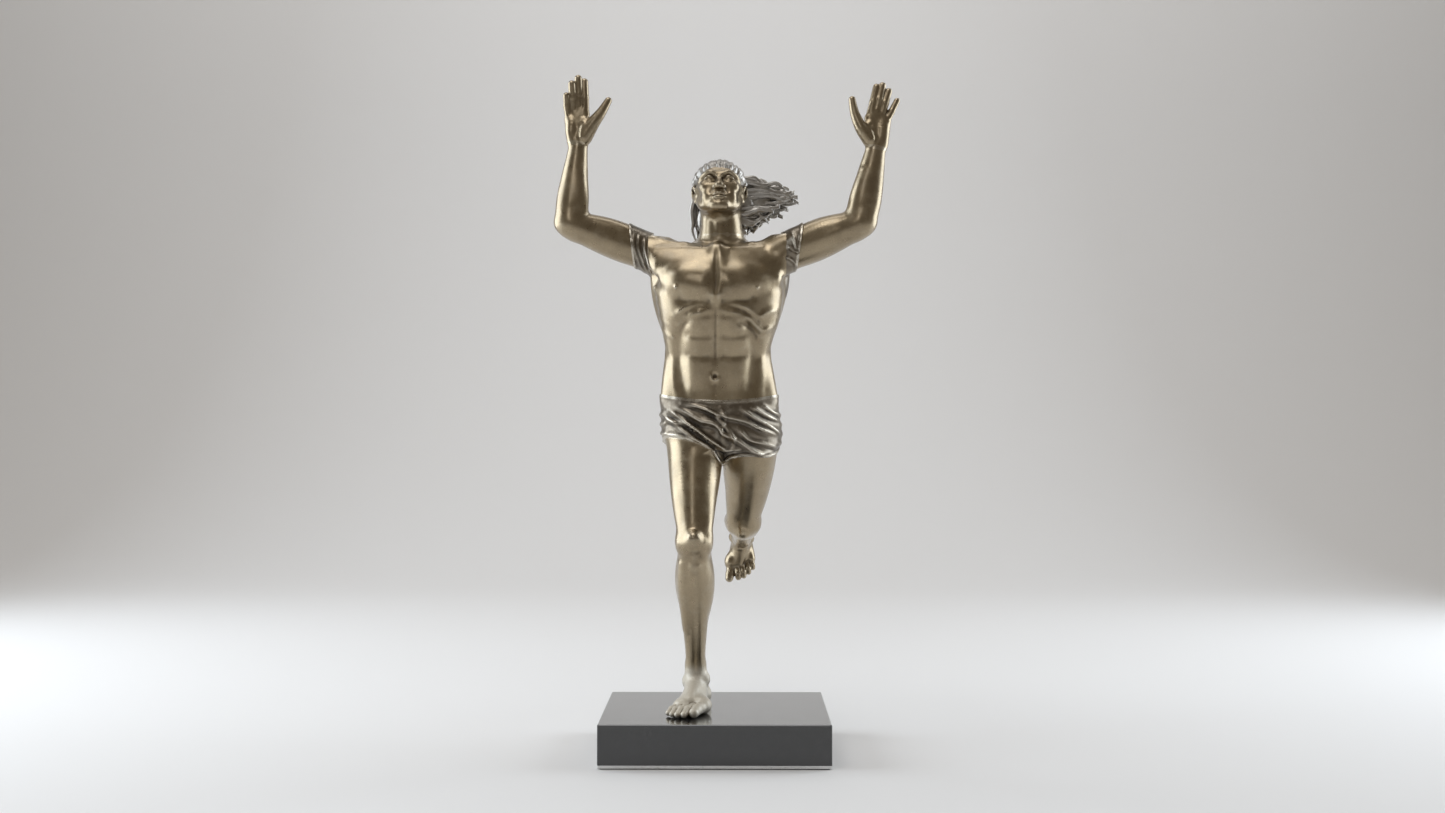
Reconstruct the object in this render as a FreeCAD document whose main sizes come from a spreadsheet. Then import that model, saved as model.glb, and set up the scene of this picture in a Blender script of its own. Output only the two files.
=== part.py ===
import FreeCAD, Part
import math
import os

import Sketcher
from FreeCAD import Placement, Rotation, Vector

# Figure trophy: a bronze runner, arms raised, on a polished stone block.
# The figure is cast in sections that meet face to face and are held by dowels.
# Frame: millimetres, +Z up, the figure faces -Y, origin under the block's centre.

doc = FreeCAD.newDocument("FigureTrophy")
sheet = doc.addObject("Spreadsheet::Sheet", "Dims")
dims = {}


def dim(alias, value):
    """Keeps one driving dimension in the spreadsheet under its alias."""
    row = len(dims) + 1
    sheet.set("A%d" % row, alias)
    sheet.set("B%d" % row, repr(float(value)))
    sheet.setAlias("B%d" % row, alias)
    dims[alias] = float(value)


def cell(alias):
    """The expression that reads one cell."""
    return "Dims." + alias


# ---- Driving dimensions: the base and what clamps the figure to it ----
dim("base_width", 160.0)
dim("base_depth", 120.0)
dim("block_height", 27.7)
dim("block_corner", 1.2)
dim("block_bevel", 0.6)
dim("plate_height", 2.0)
dim("felt_height", 0.8)
dim("felt_inset", 1.5)
dim("stud_dia", 6.0)
dim("stud_clearance", 0.3)
dim("stud_reach", 42.0)
dim("nut_across_flats", 10.0)
dim("nut_height", 5.0)
dim("washer_dia", 16.0)
dim("washer_height", 1.6)
dim("recess_dia", 22.0)
dim("recess_depth", 10.0)
dim("toe_pin_dia", 3.0)
dim("toe_pin_length", 11.0)
dim("toe_pin_in_foot", 4.0)
dim("pin_end_gap", 0.5)
dim("screw_inset", 12.0)
dim("screw_dia", 3.0)
dim("screw_head_dia", 6.0)
dim("screw_length", 9.0)
dim("screw_socket", 2.0)
dim("screw_socket_depth", 0.9)
dim("screw_gap", 0.05)
dim("insert_dia", 5.0)
dim("insert_length", 9.0)

# ---- Driving dimensions: the castings' joints ----
dim("wall", 4.2)
dim("fit_gap", 0.2)
dim("sleeve_wall", 1.5)
dim("sleeve_length", 16.5)
dim("sleeve_overlap", 3.5)
dim("shoulder_stub_length", 26.0)
dim("lip_width", 69.0)
dim("lip_depth", 42.0)
dim("lip_wall", 3.0)
dim("lip_rise", 7.0)
dim("lip_root", 5.0)
dim("waist_pin_dia", 2.4)
dim("waist_pin_inset", 1.8)
dim("neck_dowel_dia", 6.0)
dim("neck_dowel_length", 20.0)
dim("shoulder_dowel_dia", 6.0)
dim("shoulder_dowel_length", 22.0)
dim("wrist_dowel_dia", 3.0)
dim("wrist_dowel_length", 12.0)
dim("hip_dowel_dia", 8.0)
dim("hip_dowel_length", 22.0)
dim("ankle_dowel_dia", 4.0)
dim("ankle_dowel_length", 16.0)
dim("hair_pin_dia", 2.0)
dim("hair_pin_length", 8.0)
dim("hem_clearance_length", 30.0)

# ---- Driving dimensions: the head ----
dim("cranium_width", 34.0)
dim("cranium_depth", 43.0)
dim("cranium_height", 41.0)
dim("jaw_width", 25.0)
dim("jaw_depth", 27.0)
dim("jaw_height", 31.0)
dim("hair_thickness", 2.2)
dim("head_tilt", 24.0)

# ---- Landmarks of the figure: x and y from the block's centre, z above its top ----
landmarks = {
    "support_ankle": (-13.7, 5.0, 28.0),
    "support_knee": (-14.5, -22.0, 121.0),
    "support_hip": (-15.5, 14.0, 196.0),
    "support_heel": (-9.5, 19.0, 0.0),
    "support_toe": (-23.0, -38.0, 0.0),
    "trailing_hip": (25.5, 13.0, 194.0),
    "trailing_knee": (20.5, 50.0, 125.0),
    "trailing_ankle": (19.7, 121.0, 113.5),
    "trailing_heel": (20.0, 147.0, 123.0),
    "trailing_toe": (16.5, 130.0, 75.0),
    "waist": (5.0, 8.0, 222.0),
    "neck": (4.5, -3.0, 340.0),
    "head": (2.8, -7.0, 371.0),
    "hair_tip": (60.0, 12.0, 371.0),
    "right_shoulder": (-44.0, 4.0, 328.0),
    "right_elbow": (-105.4, -12.0, 346.0),
    "right_wrist": (-97.8, -14.0, 405.0),
    "right_fingertip": (-95.4, -12.0, 453.0),
    "left_shoulder": (48.0, -8.0, 327.0),
    "left_elbow": (104.5, -30.0, 343.0),
    "left_wrist": (113.0, -34.0, 397.0),
    "left_fingertip": (118.5, -30.0, 444.0),
}
for mark, place in landmarks.items():
    for letter, number in zip("xyz", place):
        dim(mark + "_" + letter, number)

block_top = dims["felt_height"] + dims["plate_height"] + dims["block_height"]


def at(mark):
    """A landmark as a point of the whole trophy."""
    return Vector(dims[mark + "_x"], dims[mark + "_y"], dims[mark + "_z"] + block_top)


def between(start, end, share):
    return start + (end - start) * share


def unit(vector):
    return Vector(vector).normalize()


# ---- Modelling helpers ----
def body_named(label):
    body = doc.addObject("PartDesign::Body", label)
    body.Label = label
    return body


def facing(centre, normal, major):
    """A placement whose Z runs along normal and whose X lies as near as it can to major."""
    z_axis = unit(normal)
    x_axis = unit(major - z_axis * major.dot(z_axis))
    return Placement(centre, Rotation(x_axis, z_axis.cross(x_axis), z_axis, "ZXY"))


def sketch_in(body, name, placement):
    """A sketch on the body's own XY plane, carried to its place by an attachment offset."""
    sketch = body.newObject("Sketcher::SketchObject", name)
    origin = body.Origin.OriginFeatures
    plane = next(feature for feature in origin if feature.Role == "XY_Plane")
    sketch.AttachmentSupport = (plane, [""])
    sketch.MapMode = "FlatFace"
    sketch.AttachmentOffset = placement
    return sketch


def bind(sketch, constraint, name, expression):
    index = sketch.addConstraint(constraint)
    sketch.renameConstraint(index, name)
    sketch.setExpression("Constraints." + name, expression)


def add_ellipse(sketch, major, minor, name="oval"):
    """An ellipse on the sketch's origin; major and minor are expressions for its two axes."""
    first = sketch.addGeometry(Part.Ellipse(Vector(15, 0, 0), Vector(0, 10, 0), Vector(0, 0, 0)))
    sketch.exposeInternalGeometry(first)
    sketch.addConstraint(Sketcher.Constraint("Coincident", first, 3, -1, 1))
    sketch.addConstraint(Sketcher.Constraint("Horizontal", first + 1))
    for offset, label, size, expression in ((1, "major", 30, major), (2, "minor", 20, minor)):
        line = first + offset
        bind(sketch, Sketcher.Constraint("Distance", line, 1, line, 2, size), name + label, expression)


def add_circle(sketch, radius, centre=None):
    """A circle of a given radius expression; centre is a pair of expressions, or none for the origin."""
    start = Vector(0, 0, 0) if centre is None else Vector(5, 5, 0)
    index = sketch.addGeometry(Part.Circle(start, Vector(0, 0, 1), 2))
    bind(sketch, Sketcher.Constraint("Radius", index, 2), "radius%d" % index, radius)
    if centre is None:
        sketch.addConstraint(Sketcher.Constraint("Coincident", index, 3, -1, 1))
        return
    bind(sketch, Sketcher.Constraint("DistanceX", -1, 1, index, 3, 5), "x%d" % index, centre[0])
    bind(sketch, Sketcher.Constraint("DistanceY", -1, 1, index, 3, 5), "y%d" % index, centre[1])


def add_rectangle(sketch, width, depth):
    """A rectangle centred on the sketch's origin."""
    corners = [Vector(-9, -6, 0), Vector(9, -6, 0), Vector(9, 6, 0), Vector(-9, 6, 0)]
    for index in range(4):
        sketch.addGeometry(Part.LineSegment(corners[index], corners[(index + 1) % 4]))
    for index in range(4):
        sketch.addConstraint(Sketcher.Constraint("Coincident", index, 2, (index + 1) % 4, 1))
        sketch.addConstraint(Sketcher.Constraint("Vertical" if index % 2 else "Horizontal", index))
    sketch.addConstraint(Sketcher.Constraint("Symmetric", 0, 1, 2, 1, -1, 1))
    bind(sketch, Sketcher.Constraint("DistanceX", 0, 1, 0, 2, 18), "width", width)
    bind(sketch, Sketcher.Constraint("DistanceY", 1, 1, 1, 2, 12), "depth", depth)


def pad(body, name, sketch, length, symmetric=False):
    feature = body.newObject("PartDesign::Pad", name)
    feature.Profile = sketch
    feature.SideType = "Symmetric" if symmetric else "One side"
    feature.setExpression("Length", length)
    sketch.Visibility = False
    return feature


def pocket(body, name, sketch, length):
    """A pocket of the given whole length, half each side of its sketch."""
    feature = body.newObject("PartDesign::Pocket", name)
    feature.Profile = sketch
    feature.SideType = "Symmetric"
    feature.setExpression("Length", length)
    return feature


def loft(body, name, stations, major, cut=False):
    """A smooth solid, or a cavity, through oval stations: (centre, normal, major cell, minor cell)."""
    sketches = []
    for index, (centre, normal, wide, narrow) in enumerate(stations):
        sketch = sketch_in(body, "%s_station_%d" % (name, index), facing(centre, normal, major))
        add_ellipse(sketch, wide, narrow)
        sketches.append(sketch)
    feature = body.newObject("PartDesign::SubtractiveLoft" if cut else "PartDesign::AdditiveLoft", name)
    feature.Profile = sketches[0]
    feature.Sections = sketches[1:]
    return feature


def ovals(prefix, sizes):
    """Puts a limb's station sizes in the sheet and returns their expressions in pairs."""
    pairs = []
    for station, (wide, narrow) in sizes.items():
        dim("%s_%s_wide" % (prefix, station), wide)
        dim("%s_%s_narrow" % (prefix, station), narrow)
        pairs.append((cell("%s_%s_wide" % (prefix, station)), cell("%s_%s_narrow" % (prefix, station))))
    return pairs


def bore(body, name, centre, axis, diameter, length):
    """A blind dowel hole, centred on the joint face: it cuts on this casting's side of it."""
    sketch = sketch_in(body, name + "_circle", facing(centre, axis, Vector(0.31, 0.2, 0.93)))
    add_circle(sketch, diameter + " / 2")
    return pocket(body, name, sketch, "%s + 2 * %s" % (length, cell("pin_end_gap")))


def rod(label, centre, axis, diameter, length):
    """A plain round dowel, centred on its joint face."""
    cylinder = doc.addObject("Part::Cylinder", label)
    cylinder.Label = label
    cylinder.setExpression("Radius", diameter + " / 2")
    cylinder.setExpression("Height", length)
    doc.recompute()
    half = float(cylinder.Height) / 2
    cylinder.Placement = Placement(centre - unit(axis) * half, Rotation(Vector(0, 0, 1), axis))
    return cylinder


def group(label, members):
    """Identical small pieces as one node of separate solids."""
    compound = doc.addObject("Part::Compound", label)
    compound.Label = label
    compound.Links = members
    return compound


def upright_edges(shape):
    """The names of the edges that run along Z."""
    names = []
    for index, edge in enumerate(shape.Edges, 1):
        ends = [vertex.Point for vertex in edge.Vertexes]
        if len(ends) == 2 and abs(ends[0].x - ends[1].x) + abs(ends[0].y - ends[1].y) < 1e-6:
            names.append("Edge%d" % index)
    return names


def flat_slab(label, base, width, depth, height, corner):
    """A rounded rectangular slab standing on the level called base."""
    body = body_named(label)
    sketch = sketch_in(body, label + "_outline", Placement(Vector(0, 0, base), Rotation()))
    add_rectangle(sketch, width, depth)
    slab = pad(body, label + "_slab", sketch, height)
    doc.recompute()
    rounded = body.newObject("PartDesign::Fillet", label + "_corners")
    rounded.Base = (slab, upright_edges(slab.Shape))
    rounded.setExpression("Radius", corner)
    doc.recompute()
    return body


nodes = []

# ---- Base: felt, trim plate, stone block ----
plate_base = dims["felt_height"]
block_base = plate_base + dims["plate_height"]
stud_place = Vector(dims["support_ankle_x"], dims["support_ankle_y"] - 1.0, 0)
toe_pin_place = between(at("support_heel"), at("support_toe"), 0.72)
screw_places = [
    Vector(side_x * (dims["base_width"] / 2 - dims["screw_inset"]),
           side_y * (dims["base_depth"] / 2 - dims["screw_inset"]), 0)
    for side_x in (-1, 1) for side_y in (-1, 1)
]

felt = flat_slab("felt_pad", 0.0, "Dims.base_width - 2 * Dims.felt_inset",
                 "Dims.base_depth - 2 * Dims.felt_inset", cell("felt_height"), cell("block_corner"))
nodes.append(felt)

plate = flat_slab("trim_plate", plate_base, cell("base_width"), cell("base_depth"),
                  cell("plate_height"), cell("block_corner"))
sunk_depth = "(Dims.screw_head_dia - Dims.screw_dia) / 2"
for number, spot in enumerate(screw_places):
    through_place = Placement(spot + Vector(0, 0, plate_base), Rotation())
    through = sketch_in(plate, "screw_hole_%d_circle" % number, through_place)
    add_circle(through, "Dims.screw_dia / 2 + Dims.screw_gap")
    pocket(plate, "screw_hole_%d" % number, through, "4 * Dims.plate_height")
    sunk = plate.newObject("PartDesign::SubtractiveCone", "countersink_%d" % number)
    sunk.setExpression("Radius1", "Dims.screw_head_dia / 2 + Dims.screw_gap")
    sunk.setExpression("Radius2", "Dims.screw_dia / 2 + Dims.screw_gap")
    sunk.setExpression("Height", sunk_depth)
    sunk.AttachmentSupport = (plate.Origin.OriginFeatures[3], [""])
    sunk.MapMode = "FlatFace"
    sunk.AttachmentOffset = Placement(spot + Vector(0, 0, plate_base), Rotation())
nodes.append(plate)

block = flat_slab("base_block", block_base, cell("base_width"), cell("base_depth"),
                  cell("block_height"), cell("block_corner"))
stone = block.Tip
rim = [
    "Edge%d" % index
    for index, edge in enumerate(stone.Shape.Edges, 1)
    if min(vertex.Point.z for vertex in edge.Vertexes) > block_top - 1e-6
]
bevel = block.newObject("PartDesign::Chamfer", "top_bevel")
bevel.Base = (stone, rim)
bevel.setExpression("Size", cell("block_bevel"))
stud_hole_place = Placement(stud_place + Vector(0, 0, block_base), Rotation())
stud_hole = sketch_in(block, "stud_hole_circle", stud_hole_place)
add_circle(stud_hole, "Dims.stud_dia / 2 + Dims.stud_clearance")
pocket(block, "stud_hole", stud_hole, "4 * Dims.block_height")
recess = sketch_in(block, "nut_recess_circle", Placement(stud_place + Vector(0, 0, block_base), Rotation()))
add_circle(recess, "Dims.recess_dia / 2")
pocket(block, "nut_recess", recess, "2 * Dims.recess_depth")
for number, spot in enumerate(screw_places):
    seat_place = Placement(spot + Vector(0, 0, block_base), Rotation())
    seat = sketch_in(block, "insert_hole_%d_circle" % number, seat_place)
    add_circle(seat, "Dims.insert_dia / 2")
    pocket(block, "insert_hole_%d" % number, seat, "2 * (Dims.insert_length + Dims.pin_end_gap)")
toe_pin_depth = "(Dims.toe_pin_length - Dims.toe_pin_in_foot + Dims.pin_end_gap)"
pin_hole = sketch_in(block, "toe_pin_hole_circle", Placement(toe_pin_place, Rotation()))
add_circle(pin_hole, "Dims.toe_pin_dia / 2")
pocket(block, "toe_pin_hole", pin_hole, "2 * " + toe_pin_depth)
nodes.append(block)

# ---- Base: inserts and screws of the trim plate ----
inserts = []
screws = []
for number, spot in enumerate(screw_places):
    sleeve = doc.addObject("Part::Cylinder", "insert_outside_%d" % number)
    sleeve.setExpression("Radius", "Dims.insert_dia / 2")
    sleeve.setExpression("Height", cell("insert_length"))
    core = doc.addObject("Part::Cylinder", "insert_thread_%d" % number)
    core.setExpression("Radius", "Dims.screw_dia / 2 + Dims.screw_gap")
    core.setExpression("Height", cell("insert_length"))
    for piece in (sleeve, core):
        piece.Placement.Base = spot + Vector(0, 0, block_base)
    insert = doc.addObject("Part::Cut", "insert_%d" % number)
    insert.Base = sleeve
    insert.Tool = core
    inserts.append(insert)

    head = doc.addObject("Part::Cone", "screw_head_%d" % number)
    head.setExpression("Radius1", "Dims.screw_head_dia / 2")
    head.setExpression("Radius2", "Dims.screw_dia / 2")
    head.setExpression("Height", sunk_depth)
    shank = doc.addObject("Part::Cylinder", "screw_shank_%d" % number)
    shank.setExpression("Radius", "Dims.screw_dia / 2")
    shank.setExpression("Height", cell("screw_length"))
    whole = doc.addObject("Part::Fuse", "screw_blank_%d" % number)
    whole.Base = head
    whole.Tool = shank
    socket = doc.addObject("Part::Prism", "screw_socket_%d" % number)
    socket.Polygon = 6
    socket.setExpression("Circumradius", "Dims.screw_socket / sqrt(3)")
    socket.setExpression("Height", cell("screw_socket_depth"))
    for piece in (head, shank, socket):
        piece.Placement.Base = spot + Vector(0, 0, plate_base)
    screw = doc.addObject("Part::Cut", "screw_%d" % number)
    screw.Base = whole
    screw.Tool = socket
    screws.append(screw)
nodes.append(group("plate_inserts", inserts))
nodes.append(group("plate_screws", screws))

# ---- Anchor: stud, washer, nut and the pin that stops the foot turning ----
recess_top = block_base + dims["recess_depth"]
washer_base = recess_top - dims["washer_height"]
nut_base = washer_base - dims["nut_height"]
stud = doc.addObject("Part::Cylinder", "anchor_stud")
stud.setExpression("Radius", "Dims.stud_dia / 2")
stud.setExpression("Height", "Dims.stud_reach + Dims.block_height - Dims.recess_depth"
                             " + Dims.washer_height + Dims.nut_height + Dims.pin_end_gap")
stud.Placement.Base = stud_place + Vector(0, 0, nut_base - dims["pin_end_gap"])
nodes.append(stud)


def ring(label, outside, hole, base, height):
    """Cuts a round hole through a standing piece, on the stud's axis."""
    drill = doc.addObject("Part::Cylinder", label + "_hole")
    drill.setExpression("Radius", hole)
    drill.setExpression("Height", height)
    outside.setExpression("Height", height)
    for piece in (outside, drill):
        piece.Placement.Base = stud_place + Vector(0, 0, base)
    cut = doc.addObject("Part::Cut", label)
    cut.Label = label
    cut.Base = outside
    cut.Tool = drill
    return cut


washer_disc = doc.addObject("Part::Cylinder", "washer_disc")
washer_disc.setExpression("Radius", "Dims.washer_dia / 2")
nodes.append(ring("anchor_washer", washer_disc, "Dims.stud_dia / 2 + Dims.stud_clearance",
                  washer_base, cell("washer_height")))
nut_hexagon = doc.addObject("Part::Prism", "nut_hexagon")
nut_hexagon.Polygon = 6
nut_hexagon.setExpression("Circumradius", "Dims.nut_across_flats / sqrt(3)")
nodes.append(ring("anchor_nut", nut_hexagon, "Dims.stud_dia / 2 + Dims.screw_gap",
                  nut_base, cell("nut_height")))

toe_pin = doc.addObject("Part::Cylinder", "toe_pin")
toe_pin.setExpression("Radius", "Dims.toe_pin_dia / 2")
toe_pin.setExpression("Height", cell("toe_pin_length"))
toe_pin.Placement.Base = toe_pin_place - Vector(0, 0, dims["toe_pin_length"] - dims["toe_pin_in_foot"])
nodes.append(toe_pin)

# ---- Feet ----
side_way = Vector(1, 0, 0)


def foot(label, heel, toe, up, sizes, ankle, ankle_axis, ankle_oval):
    """A foot lying along heel to toe, its sole on the line between them, with a column up to the ankle."""
    body = body_named(label)
    axis = unit(toe - heel)
    lift = unit(up - axis * up.dot(axis))
    across = axis.cross(lift)
    pairs = ovals(label, {name: size[1:] for name, size in sizes.items()})
    stations = []
    for (name, (share, _, height)), (wide, narrow) in zip(sizes.items(), pairs):
        centre = between(heel, toe, share) + lift * (dims["%s_%s_narrow" % (label, name)] * 0.5)
        stations.append((centre, axis, wide, narrow))
    loft(body, label + "_sole", stations, across)
    root = between(heel, toe, 0.3) + lift * 8.0
    root_axis = unit(ankle - root)
    column = [
        (root, root_axis, ankle_oval[0], ankle_oval[1]),
        (ankle, ankle_axis, ankle_oval[2], ankle_oval[3]),
    ]
    loft(body, label + "_instep", column, axis)
    return body


foot_sizes = {
    "heel": (0.03, 13.0, 11.0), "hind": (0.14, 17.0, 17.0), "arch": (0.36, 19.0, 18.5),
    "instep": (0.56, 23.0, 16.0), "ball": (0.76, 28.0, 12.0),
    "toes": (0.92, 25.0, 8.5), "tip": (1.0, 19.0, 6.0),
}
support_ankle_oval = ovals("support_ankle_oval", {"low": (28.0, 17.5), "top": (18.0, 14.5)})
trailing_ankle_oval = ovals("trailing_ankle_oval", {"low": (18.0, 15.0), "top": (16.0, 14.0)})
support_shin = unit(at("support_knee") - at("support_ankle"))
trailing_shin = unit(at("trailing_knee") - at("trailing_ankle"))
support_foot = foot("right_foot", at("support_heel"), at("support_toe"), Vector(0, 0, 1), foot_sizes,
                    at("support_ankle"), support_shin, support_ankle_oval[0] + support_ankle_oval[1])
trailing_foot_sizes = {name: (share, wide * 0.92, narrow * 0.92)
                       for name, (share, wide, narrow) in foot_sizes.items()}
trailing_foot = foot("left_foot", at("trailing_heel"), at("trailing_toe"), Vector(0, -1, 0),
                     trailing_foot_sizes,
                     at("trailing_ankle"), trailing_shin, trailing_ankle_oval[0] + trailing_ankle_oval[1])


def stud_bore(body, name):
    """The anchor stud's tapped hole, which runs up through the foot into the shin."""
    sketch = sketch_in(body, name + "_circle", Placement(stud_place + Vector(0, 0, block_top), Rotation()))
    add_circle(sketch, "Dims.stud_dia / 2")
    return pocket(body, name, sketch, "2 * (Dims.stud_reach + Dims.pin_end_gap)")


stud_bore(support_foot, "foot_stud_bore")
toe_bore = sketch_in(support_foot, "foot_toe_pin_circle", Placement(toe_pin_place, Rotation()))
add_circle(toe_bore, "Dims.toe_pin_dia / 2")
pocket(support_foot, "foot_toe_pin_bore", toe_bore, "2 * (Dims.toe_pin_in_foot + Dims.pin_end_gap)")
bore(trailing_foot, "foot_ankle_bore", at("trailing_ankle"), trailing_shin,
     cell("ankle_dowel_dia"), cell("ankle_dowel_length"))
nodes.append(support_foot)
nodes.append(trailing_foot)

# ---- Legs: thigh, knee and shin in one casting ----
hem_share = 0.15


def leg(label, hip, knee, ankle, sizes, ankle_pair, kneecap):
    """A leg from the shorts' hem to the ankle; each station is (bone, share along it, its oval)."""
    body = body_named(label)
    thigh_axis = unit(knee - hip)
    shin_axis = unit(ankle - knee)
    bend = unit(thigh_axis + shin_axis)
    pairs = ovals(label, {name: size[2:] for name, size in sizes.items()})
    stations = []
    for (bone, share, _, _), pair in zip(sizes.values(), pairs):
        if bone == "thigh":
            stations.append((between(hip, knee, share), thigh_axis) + pair)
        elif bone == "knee":
            stations.append((knee, bend) + pair)
        else:
            stations.append((between(knee, ankle, share), shin_axis) + pair)
    stations.append((ankle, shin_axis) + ankle_pair)
    loft(body, label + "_limb", stations, kneecap)
    return body


support_leg = leg("right_leg", at("support_hip"), at("support_knee"), at("support_ankle"), {
    "hem": ("thigh", hem_share, 42.0, 39.0), "mid": ("thigh", 0.45, 39.0, 36.5),
    "low": ("thigh", 0.78, 32.0, 30.0), "knee": ("knee", 0.0, 29.5, 26.5),
    "under": ("shin", 0.16, 27.5, 23.5), "calf": ("shin", 0.4, 31.0, 28.0),
    "lower": ("shin", 0.68, 24.0, 21.0), "thin": ("shin", 0.9, 17.5, 14.5),
}, support_ankle_oval[1], Vector(0, -1, 0))
bore(support_leg, "leg_hip_bore", between(at("support_hip"), at("support_knee"), hem_share),
     at("support_knee") - at("support_hip"), cell("hip_dowel_dia"), cell("hip_dowel_length"))
stud_bore(support_leg, "leg_stud_bore")
nodes.append(support_leg)

trailing_leg = leg("left_leg", at("trailing_hip"), at("trailing_knee"), at("trailing_ankle"), {
    "hem": ("thigh", hem_share, 41.0, 36.5), "mid": ("thigh", 0.45, 38.0, 34.0),
    "low": ("thigh", 0.76, 31.0, 28.0), "knee": ("knee", 0.0, 30.0, 24.5),
    "under": ("shin", 0.22, 28.0, 25.0), "calf": ("shin", 0.42, 29.5, 27.0),
    "lower": ("shin", 0.72, 21.0, 18.5), "thin": ("shin", 0.9, 16.5, 14.5),
}, trailing_ankle_oval[1], Vector(0, -1, 0.2))
bore(trailing_leg, "leg_hip_bore_left", between(at("trailing_hip"), at("trailing_knee"), hem_share),
     at("trailing_knee") - at("trailing_hip"), cell("hip_dowel_dia"), cell("hip_dowel_length"))
bore(trailing_leg, "leg_ankle_bore", at("trailing_ankle"), trailing_shin,
     cell("ankle_dowel_dia"), cell("ankle_dowel_length"))
nodes.append(trailing_leg)

# ---- Shorts: hips with two leg openings, hollow above, with a lip that the torso sits over ----
up = Vector(0, 0, 1)
waist = at("waist")
shorts = body_named("shorts")
shorts_sizes = {
    "floor": (-41.0, 0.5, 4.0, 60.0, 40.0), "seat": (-33.0, 0.8, 4.0, 84.0, 57.0),
    "hips": (-23.0, 0.8, 3.5, 85.5, 61.0), "upper": (-11.0, 0.5, 2.0, 84.0, 58.0),
    "waistband": (0.0, 0.0, 0.0, 82.0, 54.0),
}
shorts_pairs = ovals("shorts", {name: size[3:] for name, size in shorts_sizes.items()})
loft(shorts, "hips_shell", [
    (waist + Vector(shift_x, shift_y, level), up) + pair
    for (level, shift_x, shift_y, _, _), pair in zip(shorts_sizes.values(), shorts_pairs)
], side_way)
stub_pairs = ovals("shorts_leg", {"right": (44.0, 41.0), "left": (43.0, 38.5)})
for name, hip, knee, pair in (
    ("right", at("support_hip"), at("support_knee"), stub_pairs[0]),
    ("left", at("trailing_hip"), at("trailing_knee"), stub_pairs[1]),
):
    leg_axis = unit(knee - hip)
    loft(shorts, name + "_leg_opening", [
        (hip, leg_axis) + pair,
        (between(hip, knee, hem_share), leg_axis) + pair,
    ], Vector(0, -1, 0))
hem_pairs = ovals("hem_clearance", {"right": (44.0, 41.0), "left": (43.0, 38.5)})
for name, hip, knee, pair in (
    ("right", at("support_hip"), at("support_knee"), hem_pairs[0]),
    ("left", at("trailing_hip"), at("trailing_knee"), hem_pairs[1]),
):
    leg_axis = unit(knee - hip)
    hem = between(hip, knee, hem_share)
    below = sketch_in(shorts, name + "_hem_oval", facing(hem + leg_axis * 15.0, leg_axis, Vector(0, -1, 0)))
    add_ellipse(below, pair[0], pair[1])
    pocket(shorts, name + "_hem_clearance", below, cell("hem_clearance_length"))
lip_sketch = sketch_in(shorts, "lip_oval", facing(waist - up * dims["lip_root"], up, side_way))
add_ellipse(lip_sketch, "Dims.lip_width - 2 * Dims.fit_gap", "Dims.lip_depth - 2 * Dims.fit_gap")
pad(shorts, "waist_lip", lip_sketch, "Dims.lip_rise + Dims.lip_root")
hollow_width = "(Dims.lip_width - 2 * Dims.lip_wall)"
hollow_depth = "(Dims.lip_depth - 2 * Dims.lip_wall)"
hips_hollow_middle = waist + up * ((dims["lip_rise"] + 1.0 - 15.0) / 2)
hips_hollow = sketch_in(shorts, "hips_hollow_oval", facing(hips_hollow_middle, up, side_way))
add_ellipse(hips_hollow, hollow_width, hollow_depth)
pocket(shorts, "hips_hollow", hips_hollow, "Dims.lip_rise + 16")
for name, hip, knee in (
    ("right", at("support_hip"), at("support_knee")),
    ("left", at("trailing_hip"), at("trailing_knee")),
):
    bore(shorts, name + "_hip_bore", between(hip, knee, hem_share), knee - hip,
         cell("hip_dowel_dia"), cell("hip_dowel_length"))
nodes.append(shorts)

# ---- Torso: a hollow shell, open at the waist, with two shoulder stubs ----
torso = body_named("torso")
torso_sizes = {
    "waist": (0.0, 0.0, 0.0, 80.0, 52.0), "navel": (14.0, -1.0, -2.5, 76.5, 49.0),
    "slim": (25.0, -1.0, -4.5, 75.0, 48.0), "ribs": (42.0, -1.5, -7.5, 81.0, 51.0),
    "low_chest": (58.0, 0.0, -11.0, 89.0, 56.0), "chest": (76.0, 0.0, -13.0, 95.5, 58.5),
    "armpit": (91.0, -0.5, -12.0, 94.0, 54.0), "shoulder": (104.0, -1.0, -11.0, 86.0, 42.0),
    "collar": (112.5, -0.5, -11.0, 58.0, 33.0), "neck": (118.0, -0.5, -11.0, 33.0, 29.5),
}
torso_pairs = ovals("torso", {name: size[3:] for name, size in torso_sizes.items()})
torso_stations = [
    (waist + Vector(shift_x, shift_y, level), up) + pair
    for (level, shift_x, shift_y, _, _), pair in zip(torso_sizes.values(), torso_pairs)
]
loft(torso, "trunk", torso_stations, side_way)
arm_start = 0.12
arm_root_pairs = ovals("arm_root", {"right": (27.0, 24.0), "left": (28.5, 25.0)})
arms = {
    "right": (at("right_shoulder"), at("right_elbow"), arm_root_pairs[0]),
    "left": (at("left_shoulder"), at("left_elbow"), arm_root_pairs[1]),
}
for name, (shoulder, elbow, pair) in arms.items():
    arm_axis = unit(elbow - shoulder)
    face = between(shoulder, elbow, arm_start)
    stub = sketch_in(torso, name + "_stub_oval", facing(face, -arm_axis, up))
    add_ellipse(stub, pair[0], pair[1])
    pad(torso, name + "_stub", stub, cell("shoulder_stub_length"))
register = sketch_in(torso, "register_oval", facing(waist, up, side_way))
add_ellipse(register, cell("lip_width"), cell("lip_depth"))
pocket(torso, "waist_register", register, "2 * (Dims.lip_rise + Dims.pin_end_gap)")
hollow_stations = [
    (waist + up * (dims["lip_rise"] - 3.0), up, hollow_width + " - 1", hollow_depth + " - 1"),
]
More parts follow.
